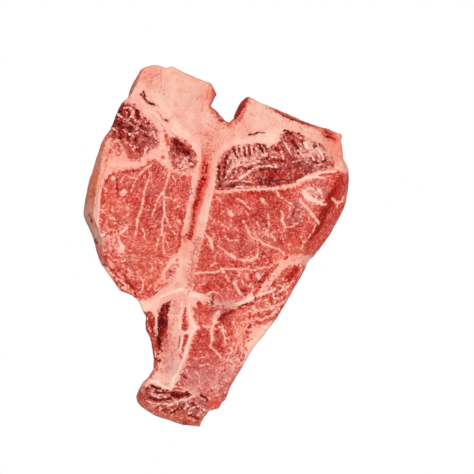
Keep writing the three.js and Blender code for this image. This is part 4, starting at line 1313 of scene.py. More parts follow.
def grain_coordinates(points, name):
    """Places in mm with the fibre direction squeezed, for the pattern of one piece."""
    if name in FANS:
        centre, radius = FANS[name]
        away = points - place(centre)
        across_fibres = np.arctan2(away[:, 0], -away[:, 1]) * radius
        along_fibres = np.linalg.norm(away, axis=1)
    else:
        turn = math.radians(GRAIN_ANGLE.get(name, 0))
        along_fibres = points @ [math.cos(turn), math.sin(turn)]
        across_fibres = points @ [-math.sin(turn), math.cos(turn)]
    squeeze = STRONG_SQUEEZE if SLOTS[name] == "dark_lean" else SQUEEZE
    return np.column_stack([along_fibres * squeeze, across_fibres])


print("fibre directions for", len(GRAIN_ANGLE) + 1, "muscles")

# %% Put the numbers together
PALE = TENDERLOIN_VEINS + STRIP_VEINS_AND_HIGHLIGHT + LOWER_VEINS + TAIL_VEINS + DARK_MUSCLE_VEINS
DISTANCES = {
    "vein": PALE,
    "dark": DARK_STREAKS,
    "blood": BLOOD_SPOTS,
    "marrow": MARROW,
    "island": LEAN_ISLANDS,
    "white": WHITE_SKINS_AND_GLINTS,
    "band": SMOOTH_BANDS,
    "faint": FAINT_LINES,
    "skin": SKIN_STROKES,
}
PATCHES = {
    "fatness": FATNESS,
    "mauve": MAUVE,
    "warm": WARM,
    "dim": DIM,
    "rind": RIND,
    "cream": CREAM,
    "spongy": SPONGY,
}


def on_steak(work):
    """Works something out at the points of the steak only, and leaves zero elsewhere."""
    values = np.zeros(len(net))
    values[steak_points] = work(net[steak_points])
    return values


for kind, *given in STREWN:
    DISTANCES[kind] = DISTANCES[kind] + crumbs(*given)

ATTRIBUTES = {
    "seam": np.minimum(seam_far, STROKE_REACH),
    "meat": np.minimum(meat_far, STROKE_REACH),
    "cleft": cleft_far,
}
for key, strokes in DISTANCES.items():
    ATTRIBUTES[key] = on_steak(lambda at, strokes=strokes: stroke_distance(at, strokes))
for key, table in PATCHES.items():
    ATTRIBUTES[key] = on_steak(lambda at, table=table: hills(at, table))
print("attributes:", sorted(ATTRIBUTES))

# %% [markdown]
# ## Fourteen closed pieces
# A piece is the part of the net that belongs to it, once at its height and once at zero, with the
# columns of the outer wall and plain walls towards its neighbours between them. Every side of a face
# has exactly one partner, so nothing is open. Halfway down, strokes are narrower than on the two cut
# faces, because their stored distance grows with the depth.

# %% Build one closed piece
STROKE_TAPER = {  # mm that a stroke narrows for each mm down the side, by kind
    "vein": 0.3,
    "island": 0.3,
    "white": 0.3,
    "faint": 0.3,
    "cleft": 0.3,
    "dark": 0.08,
    "blood": 0.05,
}


def piece_faces(index):
    """Faces of a piece in net points: upper triangles, rim sides, sides shared with others."""
    mine = owner == index
    return triangles[mine], rim[rim[:, 2] == index][:, :2], border[border[:, 2] == index][:, :2]


def build_piece(index, name):
    """A closed mesh: upper face, lower face, outer wall and plain walls towards the neighbours."""
    upper, rims, borders = piece_faces(index)
    points = np.unique(upper)
    count = len(points)
    local = np.full(len(net), -1)
    local[points] = np.arange(count)
    top = np.column_stack([net[points], height[points]])
    bottom = np.column_stack([net[points], np.zeros(count)])
    wall_points = np.unique(rims)
    steps = len(WALL_STEPS) - 2
    wall = columns[column_of[wall_points], 1:-1].reshape(-1, 3)
    first = np.full(len(net), -1)
    first[wall_points] = 2 * count + np.arange(len(wall_points)) * steps

    def ladder(point):
        """Mesh points down the column of a rim point."""
        middle = [first[point] + k for k in range(steps)]
        return [local[point], *middle, local[point] + count]

    faces = [tuple(f) for f in local[upper]]
    faces += [tuple(f[::-1]) for f in local[upper] + count]
    for a, b in rims:
        left, right = ladder(a), ladder(b)
        faces += [(right[k], left[k], left[k + 1], right[k + 1]) for k in range(steps + 1)]
    plain_from = len(faces)
    for a, b in borders:
        faces.append((local[b], local[a], local[a] + count, local[b] + count))
    starts, ends = set(rims[:, 0]), set(rims[:, 1])
    faces += [tuple(ladder(point)) for point in ends - starts]
    faces += [tuple(ladder(point)[::-1]) for point in starts - ends]

    mesh = bpy.data.meshes.new(name)
    mesh.from_pydata(np.concatenate([top, bottom, wall]) * MM, [], faces)
    mesh.shade_smooth()
    source = np.concatenate([points, points, np.repeat(wall_points, steps)])
    wall_drop = (face[wall_points, None] - columns[column_of[wall_points], 1:-1, 2]) / THICKNESS
    drop = np.concatenate([slope[points], np.zeros(count), wall_drop.ravel()])
    stretched = grain_coordinates(net[source], NAMES[index])
    heights = np.concatenate([height[points], np.zeros(count), wall[:, 2]])
    depth = np.minimum(heights, height[source] - heights)
    values_of = {key: values[source] for key, values in ATTRIBUTES.items()}
    for key, taper in STROKE_TAPER.items():
        values_of[key] = values_of[key] + taper * depth
    values_of["drop"] = drop
    values_of["grain"] = np.column_stack([stretched, heights])
    for key, values in values_of.items():
        kind = "FLOAT" if values.ndim == 1 else "FLOAT_VECTOR"
        slot = "value" if values.ndim == 1 else "vector"
        mesh.attributes.new(key, kind, "POINT").data.foreach_set(slot, values.astype(np.float32).ravel())

    sharp = np.zeros(len(mesh.edges), bool)
    for polygon in list(mesh.polygons)[plain_from:]:
        for loop in polygon.loop_indices:
            sharp[mesh.loops[loop].edge_index] = True
    mesh.attributes.new("sharp_edge", "BOOLEAN", "EDGE").data.foreach_set("value", sharp)
    piece = bpy.data.objects.new(name, mesh)
    bpy.context.scene.collection.objects.link(piece)
    return piece


pieces = {}
for index, name in enumerate(NAMES):
    pieces[name] = build_piece(index, name.replace("lean_", "meat_") + "_dressed")
print({piece.name: len(piece.data.polygons) for piece in pieces.values()})


# %% Check that every piece is closed
def open_sides(mesh):
    """Sides of faces that don't have exactly one partner."""
    edge_of = np.zeros(len(mesh.loops), int)
    mesh.loops.foreach_get("edge_index", edge_of)
    return int((np.bincount(edge_of) != 2).sum())


print("open sides:", {n: open_sides(p.data) for n, p in pieces.items()})

# %% [markdown]
# ## Materials
# Lean, dark lean, fat and bone are four finishes of the same wet, soft stuff. They share the fine grain, the
# marbling, the ragged edge of a stroke, the broad tints, the painted shade in clefts and the film of juice,
# so those six effects are node groups. They put out masks, tones, heights, roughness and one colour, and
# each material mixes its own colours with them.

# %% Helpers for node trees
def srgb(red, green, blue):
    """A colour as a picture shows it, from 0 to 255, to the linear values that Blender uses."""
    part = np.array([red, green, blue]) / 255
    linear = np.where(part <= 0.04045, part / 12.92, ((part + 0.055) / 1.055) ** 2.4)
    return (*linear, 1.0)


class Bench:
    """Holds the node tree that is being built. Every helper adds its nodes to that one."""

    tree = None


def join(output, socket):
    """A link on the tree that lies on the bench."""
    Bench.tree.links.new(output, socket)


def add_node(kind, inputs=None, **settings):
    """Adds a node; an input may be a plain value or the output of another node."""
    made = Bench.tree.nodes.new("ShaderNode" + kind)
    count = len(Bench.tree.nodes)
    made.location = (240 * (count % 10), -280 * (count // 10))
    for key, value in settings.items():
        setattr(made, key, value)
    for key, value in (inputs or {}).items():
        if isinstance(value, bpy.types.NodeSocket):
            join(value, made.inputs[key])
        else:
            made.inputs[key].default_value = value
    return made


def calc(operation, *values, clamp=False):
    """A number worked out from one, two or three others."""
    inputs = dict(enumerate(values))
    return add_node("Math", inputs, operation=operation, use_clamp=clamp).outputs[0]


def step(value, low, high):
    """A smooth step from 0 at low to 1 at high; low may be the larger one."""
    inputs = {"Value": value, "From Min": low, "From Max": high}
    made = add_node("MapRange", inputs, interpolation_type="SMOOTHSTEP")
    return made.outputs["Result"]


def mix(share, first, second):
    """A colour between two others."""
    inputs = {0: share, 6: first, 7: second}
    made = add_node("Mix", inputs, data_type="RGBA", clamp_factor=True)
    return made.outputs[2]


def ramp(value, *stops):
    """A colour that runs through stops, each a position and a picture colour."""
    made = add_node("ValToRGB", {0: value})
    marks = made.color_ramp.elements
    for _ in stops[2:]:
        marks.new(0.5)
    for mark, (position, *colour) in zip(marks, stops):
        mark.position = position
        mark.color = srgb(*colour)
    return made.outputs[0]


def stored(name, output="Fac"):
    """A number or a vector that the mesh carries as an attribute."""
    return add_node("Attribute", attribute_name=name, attribute_type="GEOMETRY").outputs[output]


def clouds(at, size, detail=2.0, twist=0.0, rough_share=0.5, output="Fac"):
    """Noise from 0 to 1 with features of about the given size in mm."""
    inputs = {"Vector": at, "Scale": 1 / size, "Detail": detail}
    inputs.update({"Roughness": rough_share, "Distortion": twist})
    return add_node("TexNoise", inputs).outputs[output]


def warped(at, size, sway, detail=2.0, rough_share=0.5):
    """A place moved by noise, so that what is drawn there comes out crooked."""
    drift = clouds(at, size, detail, rough_share=rough_share, output="Color")
    inputs = {0: drift, 1: (sway, sway, sway)}
    drift = add_node("VectorMath", inputs, operation="MULTIPLY").outputs[0]
    return add_node("VectorMath", {0: at, 1: drift}, operation="ADD").outputs[0]


def new_group(name, inputs, outputs):
    """Puts a new node group on the bench; gives it with its entry and its exit."""
    group = bpy.data.node_groups.new(name, "ShaderNodeTree")
    Bench.tree = group
    for key, kind in inputs.items():
        group.interface.new_socket(key, in_out="INPUT", socket_type="NodeSocket" + kind)
    for key, kind in outputs.items():
        group.interface.new_socket(key, in_out="OUTPUT", socket_type="NodeSocket" + kind)
    entry = group.nodes.new("NodeGroupInput").outputs
    leave = group.nodes.new("NodeGroupOutput").inputs
    return group, entry, leave


def use_group(group, inputs):
    """Adds a node that runs a group, and gives its outputs."""
    return add_node("Group", inputs, node_tree=group).outputs


# %% Helpers for masks and colours
def wash(colour, mask, strength, shade):
    """Lays a shade over a colour where a mask is, with a strength from 0 to 1."""
    return mix(scaled(mask, strength), colour, shade)


def stroke_wash(at, colour, kind, rag, softness, strength, shade):
    """Lays a shade over a colour along the strokes of one kind."""
    return wash(colour, ragged(at, kind, rag, softness), strength, shade)


def inverse(mask):
    """A mask that is 1 where another is 0."""
    return calc("SUBTRACT", 1.0, mask)


def scaled(mask, by):
    """A mask times a number or another mask."""
    return calc("MULTIPLY", mask, by)


def add_share(value, share, base):
    """A share of a value, added to a base."""
    return calc("MULTIPLY_ADD", value, share, base)


print("linear value of picture colour 215, 100, 88:", [round(float(v), 3) for v in srgb(215, 100, 88)])

# %% [markdown]
# A cut muscle shows the ends of its fibre bundles, each about a millimetre wide, with a paler web
# between them. Noise of three sizes gives the bundles their tones, and the middle one is put out as
# a coarse mottle too. The web is where a fourth noise passes through its middle value: that is
# always a thin crooked line. A few pale specks are the small cells of a Voronoi pattern. Fat and bone
# use the same group at another size or with less contrast.

# %% Group: grain of bundles
grain_group, entry, leave = new_group(
    "bundle grain",
    {"Place": "Vector", "Size": "Float"},
    {"Tone": "Float", "Fine": "Float", "Web": "Float", "Speck": "Float", "Mottle": "Float"},
)
per_size = calc("DIVIDE", 1.0, entry["Size"])
inputs = {0: entry["Place"], "Scale": per_size}
at = add_node("VectorMath", inputs, operation="SCALE").outputs[0]
fine = clouds(at, 0.8, 2.0, rough_share=0.7)
mottle = clouds(at, 2.4, 3.0, rough_share=0.6)
broad = clouds(at, 8.0, 2.0)
tone = scaled(calc("SUBTRACT", fine, 0.5), 1.5)
tone = add_share(calc("SUBTRACT", mottle, 0.5), 0.5, tone)
tone = add_share(calc("SUBTRACT", broad, 0.5), 0.7, tone)
join(calc("ADD", tone, 0.5), leave["Tone"])
join(step(fine, 0.34, 0.66), leave["Fine"])
join(mottle, leave["Mottle"])
ridge = calc("ABSOLUTE", calc("SUBTRACT", clouds(at, 1.7, 1.0), 0.5))
web = scaled(step(ridge, 0.075, 0.0), step(mottle, 0.40, 0.58))
join(web, leave["Web"])
moved = warped(at, 1.25, 2.0)
cells = add_node("TexVoronoi", {"Vector": moved, "Scale": 0.5}, feature="F1")
chance = add_node("SeparateColor", {0: cells.outputs["Color"]}).outputs[0]
size = scaled(calc("SUBTRACT", chance, 0.45), 0.7)
speck = step(calc("SUBTRACT", cells.outputs["Distance"], size), 0.07, -0.09)
join(speck, leave["Speck"])
print("group:", grain_group.name)

# %% [markdown]
# Marbling is fat that grew between the bundles. It shows as crooked short lines that meet, and as
# small flecks. Where a muscle is fatter the lines are broader and the flecks run together. Round
# each fleck lies a fringe where fat shines through the meat.

# %% Group: marbling
marbling_group, entry, leave = new_group(
    "marbling",
    {"Place": "Vector", "Fatness": "Float"},
    {"Lines": "Float", "Flecks": "Float", "Fringe": "Float"},
)
at = entry["Place"]
moved = warped(at, 2.0, 3.0, 3.0, 0.65)
cells = add_node("TexVoronoi", {"Vector": moved, "Scale": 0.34}, feature="DISTANCE_TO_EDGE")
presence = clouds(at, 4.0, 3.0)
presence = calc("ADD", presence, scaled(entry["Fatness"], 0.2))
breadth = scaled(calc("SUBTRACT", presence, 0.5, clamp=True), 0.55)
lines = step(calc("SUBTRACT", cells.outputs["Distance"], breadth), 0.03, -0.03)
join(lines, leave["Lines"])
flecks = clouds(moved, 1.45, 3.0, rough_share=0.66)
flecks = calc("ADD", flecks, scaled(entry["Fatness"], 0.2))
join(step(flecks, 0.57, 0.68), leave["Flecks"])
join(step(flecks, 0.50, 0.58), leave["Fringe"])
print("group:", marbling_group.name)

# %% [markdown]
# No stroke on meat has a clean edge. This group roughens a stroke's stored distance with two sizes
# of noise and turns it into a mask, softer or crisper as the material asks.

# %% Group: ragged stroke
ragged_group, entry, leave = new_group(
    "ragged stroke",
    {"Place": "Vector", "Distance": "Float", "Ragged": "Float", "Softness": "Float"},
    {"Mask": "Float"},
)
wander = calc("SUBTRACT", clouds(entry["Place"], 1.6, 3.0), 0.5)
wander = scaled(wander, entry["Ragged"])
edge = calc("ADD", entry["Distance"], wander)
edge = calc("DIVIDE", edge, entry["Softness"])
mask = step(edge, 0.5, -0.5)
join(mask, leave["Mask"])


def ragged(at, distance, rag, softness, shift=0.0):
    """Mask of one kind of stroke, by name or by distance; a shift in mm makes it broader."""
    if isinstance(distance, str):
        distance = stored(distance)
    if shift:
        distance = calc("SUBTRACT", distance, shift)
    inputs = {"Place": at, "Distance": distance, "Ragged": rag, "Softness": softness}
    return use_group(ragged_group, inputs)["Mask"]


print("group:", ragged_group.name)

# %% [markdown]
# Seen from an arm's length, each tissue drifts between a paler and a richer tint over a centimetre
# or so. Two steps of one broad noise make both masks, so the two tints never overlap.

# %% Group: broad tints
TINT_MIDDLE = 0.48
tint_group, entry, leave = new_group(
    "broad tints",
    {"Place": "Vector", "Size": "Float", "Reach": "Float"},
    {"Paler": "Float", "Richer": "Float"},
)
inputs = {"Vector": entry["Place"], "Detail": 3.0}
inputs["Scale"] = calc("DIVIDE", 1.0, entry["Size"])
tint = add_node("TexNoise", inputs).outputs["Fac"]
join(step(tint, 0.50, 0.64), leave["Paler"])
richest = calc("SUBTRACT", TINT_MIDDLE, entry["Reach"])
join(step(tint, TINT_MIDDLE, richest), leave["Richer"])
print("group:", tint_group.name)

# %% [markdown]
# A cleft is a place where the tissue gapes. The relief makes it a groove, and the shade that falls into it
# is painted into the colour too: a dark red line with a paler red beside it. The group takes the colour of
# the tissue and gives it back with this painted shade laid over it.

# %% Group: painted shade in clefts
cleft_shade_group, entry, leave = new_group(
    "painted cleft shade",
    {"Place": "Vector", "Distance": "Float", "Colour": "Color"},
    {"Colour": "Color"},
)
at = entry["Place"]
# painted shade: a paler red beside the cleft and a dark red line in its gap
beside = ragged(at, entry["Distance"], 3.0, 1.6, 0.5)
colour = wash(entry["Colour"], beside, 0.45, srgb(190, 72, 58))
gap = ragged(at, entry["Distance"], 2.6, 0.7)
colour = mix(gap, colour, srgb(116, 22, 14))
join(colour, leave["Colour"])
print("group:", cleft_shade_group.name)

# %% [markdown]
# Raw meat is moist. The film of juice gathers in pools a few millimetres wide, so the roughness
# wanders between them, and the surface under it is a little uneven at two smaller sizes.

# %% Group: film of juice
film_group, entry, leave = new_group(
    "film of juice",
    {"Place": "Vector", "Dryness": "Float"},
    {"Roughness": "Float", "Height": "Float"},
)
pools = clouds(entry["Place"], 3.5, 2.0)
pools = calc("ADD", 0.34, scaled(pools, 0.22))
rough_value = calc("ADD", pools, scaled(entry["Dryness"], 0.25))
join(rough_value, leave["Roughness"])
bumps = clouds(entry["Place"], 0.9, 3.0, rough_share=0.6)
dents = clouds(entry["Place"], 2.6, 2.0)
bumps = calc("ADD", scaled(bumps, 0.5), dents)
join(bumps, leave["Height"])
print("group:", film_group.name)


# %% [markdown]
# The four materials follow the same order. The tone of the plain tissue, with its grain and its patches,
# picks a colour from a ramp. Broad tints come next, then the fat or the lean that lies in it, then the
# strokes, and the painted shade of the clefts lies over them. Only the dried skin of the fat comes later.

# %% Start and end of every material
MOIST_IOR = 1.38
MOIST_SPECULAR = 0.06
BUMP_HEIGHT = 0.0005


def start_material(name):
    """Puts a new material on the bench; gives it with its shader and the place in mm."""
    material = bpy.data.materials.new(name)
    material.use_nodes = True
    Bench.tree = material.node_tree
    shader = Bench.tree.nodes["Principled BSDF"]
    shader.inputs["IOR"].default_value = MOIST_IOR
    shader.inputs["Specular IOR Level"].default_value = MOIST_SPECULAR
    metres = add_node("TexCoord").outputs["Object"]
    place_mm = add_node("VectorMath", {0: metres, "Scale": 1 / MM}, operation="SCALE")
    return material, shader, place_mm.outputs[0]


def with_cleft_shade(at, colour):
    """The colour of a tissue with the painted shade of its clefts laid over it."""
    inputs = {"Place": at, "Distance": stored("cleft"), "Colour": colour}
    return use_group(cleft_shade_group, inputs)["Colour"]


def broad_tints(at, size, reach):
    """Masks of the paler and of the richer areas, which drift over the given size in mm."""
    tints = use_group(tint_group, {"Place": at, "Size": size, "Reach": reach})
    return tints["Paler"], tints["Richer"]


def finish_material(shader, at, colour, relief, dryness, strength):
    """Links the colour, the moist roughness and the bump to the shader."""
    film = use_group(film_group, {"Place": at, "Dryness": dryness})
    height = calc("ADD", scaled(film["Height"], 0.6), relief)
    inputs = {"Height": height, "Strength": strength, "Distance": BUMP_HEIGHT}
    bump = add_node("Bump", inputs)
    join(bump.outputs["Normal"], shader.inputs["Normal"])
    join(film["Roughness"], shader.inputs["Roughness"])
    join(colour, shader.inputs["Base Color"])


print("light bends by", MOIST_IOR, "in the film on every material")


# %% [markdown]
# Lean that the air has reached is bright red, and the small muscles near the bone are darker and
# coarser. Both are the same recipe, so one function makes them, and they differ in their tones and in
# a few numbers. Dark streaks and blood keep the pale web, the marbling and the pale rims away: in a
# wet dark slit no fat shows.

# %% Lean and dark lean
def lean_material(name, stops, fatty, fringe, dull, juice, fat_bias, even, mottled, web_share, rag):
    """Muscle from its tones, the colours of its fat, of the fringe round the fat, of dull areas and
    of blood, and numbers for how fat, even, mottled, webbed and ragged it is."""
    material, shader, at = start_material(name)
    fibres = stored("grain", "Vector")
    bundles = use_group(grain_group, {"Place": fibres, "Size": 1.0})
    mottle = calc("SUBTRACT", bundles["Mottle"], 0.5)
    # dark strokes: pooled juice and dark tissue, and painted shade in slits, under steps and along the
    # sloping side of the strip loin
    dark = ragged(at, "dark", 2.6, 1.2)
    bright = inverse(dark)
    dim = stored("dim")

    tone = add_share(bundles["Tone"], 1 - even, 0.5 * even - 0.03)
    tone = add_share(mottle, mottled, tone)
    tone = add_share(dark, -0.34, tone)
    tone = add_share(dim, -0.4, tone)
    blood = ragged(at, "blood", 2.0, 1.8)
    bloodless = inverse(scaled(blood, 0.75))
    frayed = scaled(ragged(at, "seam", -5.0, 1.6, 0.5), bright)
    frayed = scaled(frayed, bloodless)
    tone = add_share(frayed, 0.3, tone)
    colour = ramp(tone, *stops)
    paler, richer = broad_tints(at, 9.0, 0.12)
    colour = wash(colour, scaled(paler, bright), 0.35, dull)
    colour = wash(colour, scaled(richer, bright), 0.3, juice)
    bloody = scaled(blood, add_share(bundles["Fine"], -0.5, 0.85))
    colour = mix(bloody, colour, juice)

    fatness = calc("ADD", stored("fatness"), fat_bias)
    fatness = calc("SUBTRACT", fatness, dark)
    fatness = calc("SUBTRACT", fatness, scaled(dim, 0.5))
    fatness = calc("SUBTRACT", fatness, scaled(blood, 0.45))
    marbling = use_group(marbling_group, {"Place": fibres, "Fatness": fatness})
    web = scaled(bundles["Web"], bright)
    colour = wash(colour, web, web_share, fatty)
    speck = scaled(bundles["Speck"], bright)
    colour = wash(colour, speck, 0.42, fatty)
    colour = wash(colour, marbling["Fringe"], 0.5, fringe)
    colour = wash(colour, marbling["Lines"], 0.5, fatty)
    colour = wash(colour, marbling["Flecks"], 0.7, fatty)
    halo = ragged(at, "vein", 2.6, 1.8, 0.5)
    colour = wash(colour, halo, 0.5, fringe)
    # pale veins of fat, and the painted highlight along the edge of the bevel
    vein = ragged(at, "vein", rag, 0.6)
    broken = add_share(step(bundles["Mottle"], 0.36, 0.56), 0.4, 0.58)
    colour = mix(scaled(vein, broken), colour, fatty)
    border = scaled(ragged(at, "seam", -4.0, 0.5), bloodless)
    colour = wash(colour, border, 0.8, fatty)

    mauve = scaled(stored("mauve"), bright)
    colour = wash(colour, mauve, 0.4, srgb(205, 144, 142))
    warm = scaled(stored("warm"), bright)
    colour = wash(colour, warm, 0.42, srgb(246, 134, 100))
    # white skins, and painted glints of light on the wet meat
    colour = stroke_wash(at, colour, "white", 1.8, 0.7, 0.85, srgb(255, 212, 196))
    # painted shade in the clefts
    colour = with_cleft_shade(at, colour)

    relief = calc("SUBTRACT", scaled(vein, 0.35), scaled(dark, 0.5))
    relief = calc("ADD", relief, scaled(marbling["Flecks"], 0.25))
    relief = calc("ADD", relief, scaled(bundles["Fine"], 0.25))
    finish_material(shader, at, colour, relief, 0.0, 0.5)
    return material


LEAN_STOPS = [
    (0.02, 146, 12, 6), (0.30, 186, 38, 28), (0.50, 209, 64, 51), (0.70, 231, 98, 83),
    (0.98, 254, 160, 143),
]
DARK_LEAN_STOPS = [
    (0.00, 88, 0, 0), (0.22, 126, 8, 4), (0.48, 174, 46, 36), (0.66, 208, 88, 76),
    (0.95, 252, 172, 156),
]
lean = lean_material(
    "lean",
    LEAN_STOPS,
    fatty=srgb(255, 194, 176),
    fringe=srgb(232, 110, 94),
    dull=srgb(192, 78, 72),
    juice=srgb(208, 38, 28),
    fat_bias=-0.1,
    even=-0.35,
    mottled=0.0,
    web_share=0.3,
    rag=2.8,
)
dark_lean = lean_material(
    "dark_lean",
    DARK_LEAN_STOPS,
    fatty=srgb(255, 202, 186),
    fringe=srgb(198, 58, 46),
    dull=srgb(150, 44, 42),
    juice=srgb(186, 26, 18),
    fat_bias=0.05,
    even=0.1,
    mottled=1.1,
    web_share=0.25,
    rag=3.4,
)
print("made", lean.name, "and", dark_lean.name)

# %% [markdown]
# The fat is firm and pale with a pinkish tone, a little more yellow in thick lumps. Beside the bone
# it lies in smooth bands, and towards the meat it turns pinker. The ramp gives its tone, the grain
# is weaker than in meat, and washes of colour do the rest.

# %% Fat: its pale tissue
FAT_STOPS = [
    (0.00, 208, 76, 60), (0.24, 236, 136, 118), (0.44, 247, 172, 154), (0.66, 252, 196, 179),
    (1.00, 255, 226, 212),
]
fat, shader, at = start_material("fat")
bundles = use_group(grain_group, {"Place": at, "Size": 1.25})
band = ragged(at, "band", 2.4, 1.6)
grainy = inverse(scaled(band, 0.7))
streaks = use_group(marbling_group, {"Place": at, "Fatness": 0.2})["Lines"]
tone = scaled(calc("SUBTRACT", bundles["Tone"], 0.5), grainy)
tone = add_share(tone, 0.6, 0.58)
tone = add_share(scaled(streaks, grainy), -0.16, tone)
near_meat = scaled(ragged(at, "meat", 5.0, 1.6, 0.7), grainy)
tone = add_share(near_meat, -0.26, tone)
tone = add_share(stored("warm"), -0.2, tone)
tone = add_share(band, 0.15, tone)
colour = ramp(tone, *FAT_STOPS)
paler, richer = broad_tints(at, 6.0, 0.14)
colour = wash(colour, paler, 0.4, srgb(251, 204, 182))
colour = wash(colour, richer, 0.5, srgb(247, 166, 154))
colour = wash(colour, stored("warm"), 0.45, srgb(244, 136, 110))
colour = wash(colour, stored("cream"), 0.5, srgb(253, 211, 189))
colour = wash(colour, stored("mauve"), 0.85, srgb(204, 140, 132))
blood = ragged(at, "blood", 1.8, 1.4)
colour = wash(colour, blood, 0.85, srgb(218, 50, 38))
print("tissue of the fat:", len(Bench.tree.nodes), "nodes")

# %% [markdown]
# Islands of lean lie in the fat, and meat frays into it along every seam. Both show the tones of the lean
# itself. White skins, faint lines, dark slits with their painted shade and the painted shade of clefts are
# laid over them.

# %% Fat: islands, skins and slits
island = ragged(at, "island", 3.0, 0.8)
border = ragged(at, "meat", 4.0, 0.5)
island = calc("MAXIMUM", island, scaled(border, 0.85))
island_tone = ramp(add_share(bundles["Tone"], 1.7, -0.42), *LEAN_STOPS)
colour = wash(colour, island, 0.95, island_tone)
colour = stroke_wash(at, colour, "faint", 1.4, 0.7, 0.7, srgb(196, 104, 88))
colour = stroke_wash(at, colour, "white", 2.8, 0.9, 0.75, srgb(255, 216, 200))
# dark strokes: painted shade in slits, and pooled juice
dark = ragged(at, "dark", 2.0, 0.8)
colour = mix(dark, colour, srgb(134, 26, 18))
# painted shade in the clefts
colour = with_cleft_shade(at, colour)
print("with islands and skins:", len(Bench.tree.nodes), "nodes")

# %% [markdown]
# At the left the side was left untrimmed, and its outer skin has dried brownish. It starts where the face
# drops away and where the rind patches allow it. Its tone is mottled noise; deeper down the side it is
# greyer and darker, partly the dried skin and partly painted shade where the side turns away from the light;
# and in patches it is rusty, mauve or bruised, with a few crumbs of clotted blood.

# %% Fat: the dried skin
uneven = scaled(clouds(at, 2.4, 3.0), 0.12)
drop_edge = calc("ADD", stored("drop"), uneven)
left_side = step(stored("rind"), 0.12, 0.45)
skin_side = scaled(step(drop_edge, 0.07, 0.14), left_side)
skin = calc("MAXIMUM", skin_side, ragged(at, "skin", 3.4, 1.6))
skin_tone = ramp(
    add_share(clouds(at, 3.4, 4.0, rough_share=0.68), 2.2, -0.62),
    (0.05, 112, 42, 26), (0.35, 166, 82, 56), (0.6, 202, 122, 96), (0.95, 236, 166, 146),
)
# greyer and darker deeper down the side: the dried skin, and painted shade
deeper_side_grey_and_shade = step(stored("drop"), 0.25, 0.6)
skin_tone = wash(skin_tone, deeper_side_grey_and_shade, 0.7, srgb(118, 84, 72))
skin_patch = step(clouds(at, 2.4, 4.0, rough_share=0.68), 0.36, 0.62)
skin_tint = add_share(skin_patch, 0.9, 0.25)
rusty = scaled(stored("warm"), skin_tint)
skin_tone = mix(rusty, skin_tone, srgb(218, 108, 70))
greyish = scaled(stored("mauve"), skin_tint)
skin_tone = mix(greyish, skin_tone, srgb(202, 164, 152))
bruised = scaled(scaled(blood, 0.75), skin_tint)
skin_tone = mix(bruised, skin_tone, srgb(212, 88, 84))
clot = step(clouds(at, 0.9, 3.0, rough_share=0.72), 0.56, 0.66)
clotted = scaled(scaled(blood, 0.7), clot)
skin_tone = mix(clotted, skin_tone, srgb(136, 36, 34))
skin_dark = inverse(scaled(dark, 0.9))
colour = mix(scaled(scaled(skin, 0.95), skin_dark), colour, skin_tone)
relief = calc("SUBTRACT", scaled(bundles["Fine"], 0.2), scaled(dark, 0.5))
finish_material(shader, at, colour, relief, 0.3, 0.4)
print("made", fat.name)

# %% [markdown]
# Sawn bone is a fine sponge: pale with countless reddish pores. Where it is spongier the contrast of
# the grain is stronger, and in the smooth bands of hard bone it is weaker. Real holes would be far
# too small for the net, so the pores are tone and a shallow bump.

# %% Bone: sponge and blood
BONE_STOPS = [
    (0.00, 182, 36, 24), (0.20, 226, 106, 86), (0.42, 243, 158, 138), (0.62, 249, 188, 168),
    (1.00, 255, 222, 206),
]
bone, shader, at = start_material("bone")
bundles = use_group(grain_group, {"Place": at, "Size": 1.0})
warm = stored("warm")
band = ragged(at, "band", 2.4, 1.6)
spread = add_share(warm, 0.3, 0.42)
spread = add_share(stored("spongy"), 0.5, spread)
spread = scaled(spread, inverse(scaled(band, 0.6)))
tone = scaled(calc("SUBTRACT", bundles["Tone"], 0.5), spread)
tone = calc("ADD", tone, 0.61)
tone = add_share(warm, -0.16, tone)
tone = add_share(stored("spongy"), -0.10, tone)
patchy = step(clouds(at, 7.0, 3.0), 0.50, 0.66)
tone = add_share(patchy, -0.1, tone)
blood = ragged(at, "blood", 2.6, 2.2)
tone = add_share(blood, -0.3, tone)
tone = add_share(band, 0.14, tone)
colour = ramp(tone, *BONE_STOPS)
paler, richer = broad_tints(at, 6.0, 0.14)
colour = wash(colour, paler, 0.4, srgb(250, 204, 184))
colour = wash(colour, richer, 0.55, srgb(243, 162, 152))
cream_patches = step(clouds(at, 5.0, 3.0), 0.40, 0.60)
creamy = scaled(stored("cream"), cream_patches)
colour = wash(colour, warm, 0.35, srgb(244, 136, 114))
colour = wash(colour, creamy, 0.6, srgb(250, 207, 185))
colour = wash(colour, blood, 0.4, srgb(222, 60, 46))
colour = wash(colour, stored("mauve"), 0.6, srgb(212, 148, 140))
print("sponge of the bone:", len(Bench.tree.nodes), "nodes")

# %% [markdown]
# In the stem the marrow shows as a dark red streak with a reddish halo. Its grains run from nearly black to
# pink. Skins, faint lines, dark crumbs and the painted shade of clefts are laid over the bone as over the
# fat.

# %% Bone: marrow, skins and clefts
marrow = ragged(at, "marrow", 4.6, 1.0)
halo = ragged(at, "marrow", 3.6, 3.2, 1.4)
colour = wash(colour, halo, 0.7, srgb(232, 100, 84))
grains = clouds(at, 2.0, 3.0, twist=0.6, rough_share=0.6)
marrow_tone = ramp(
    grains,
    (0.38, 92, 1, 1), (0.47, 160, 10, 7), (0.56, 212, 44, 34), (0.68, 243, 128, 110),
)
colour = wash(colour, marrow, 0.95, marrow_tone)
colour = stroke_wash(at, colour, "meat", 4.0, 0.5, 0.7, srgb(214, 84, 68))
colour = stroke_wash(at, colour, "faint", 1.4, 0.7, 0.7, srgb(208, 96, 80))
colour = stroke_wash(at, colour, "white", 2.8, 0.9, 0.85, srgb(255, 220, 206))
dark = ragged(at, "dark", 2.2, 0.8)
patches = step(clouds(at, 1.4, 2.0), 0.42, 0.60)
dark_tone = mix(patches, srgb(124, 12, 8), srgb(212, 66, 56))
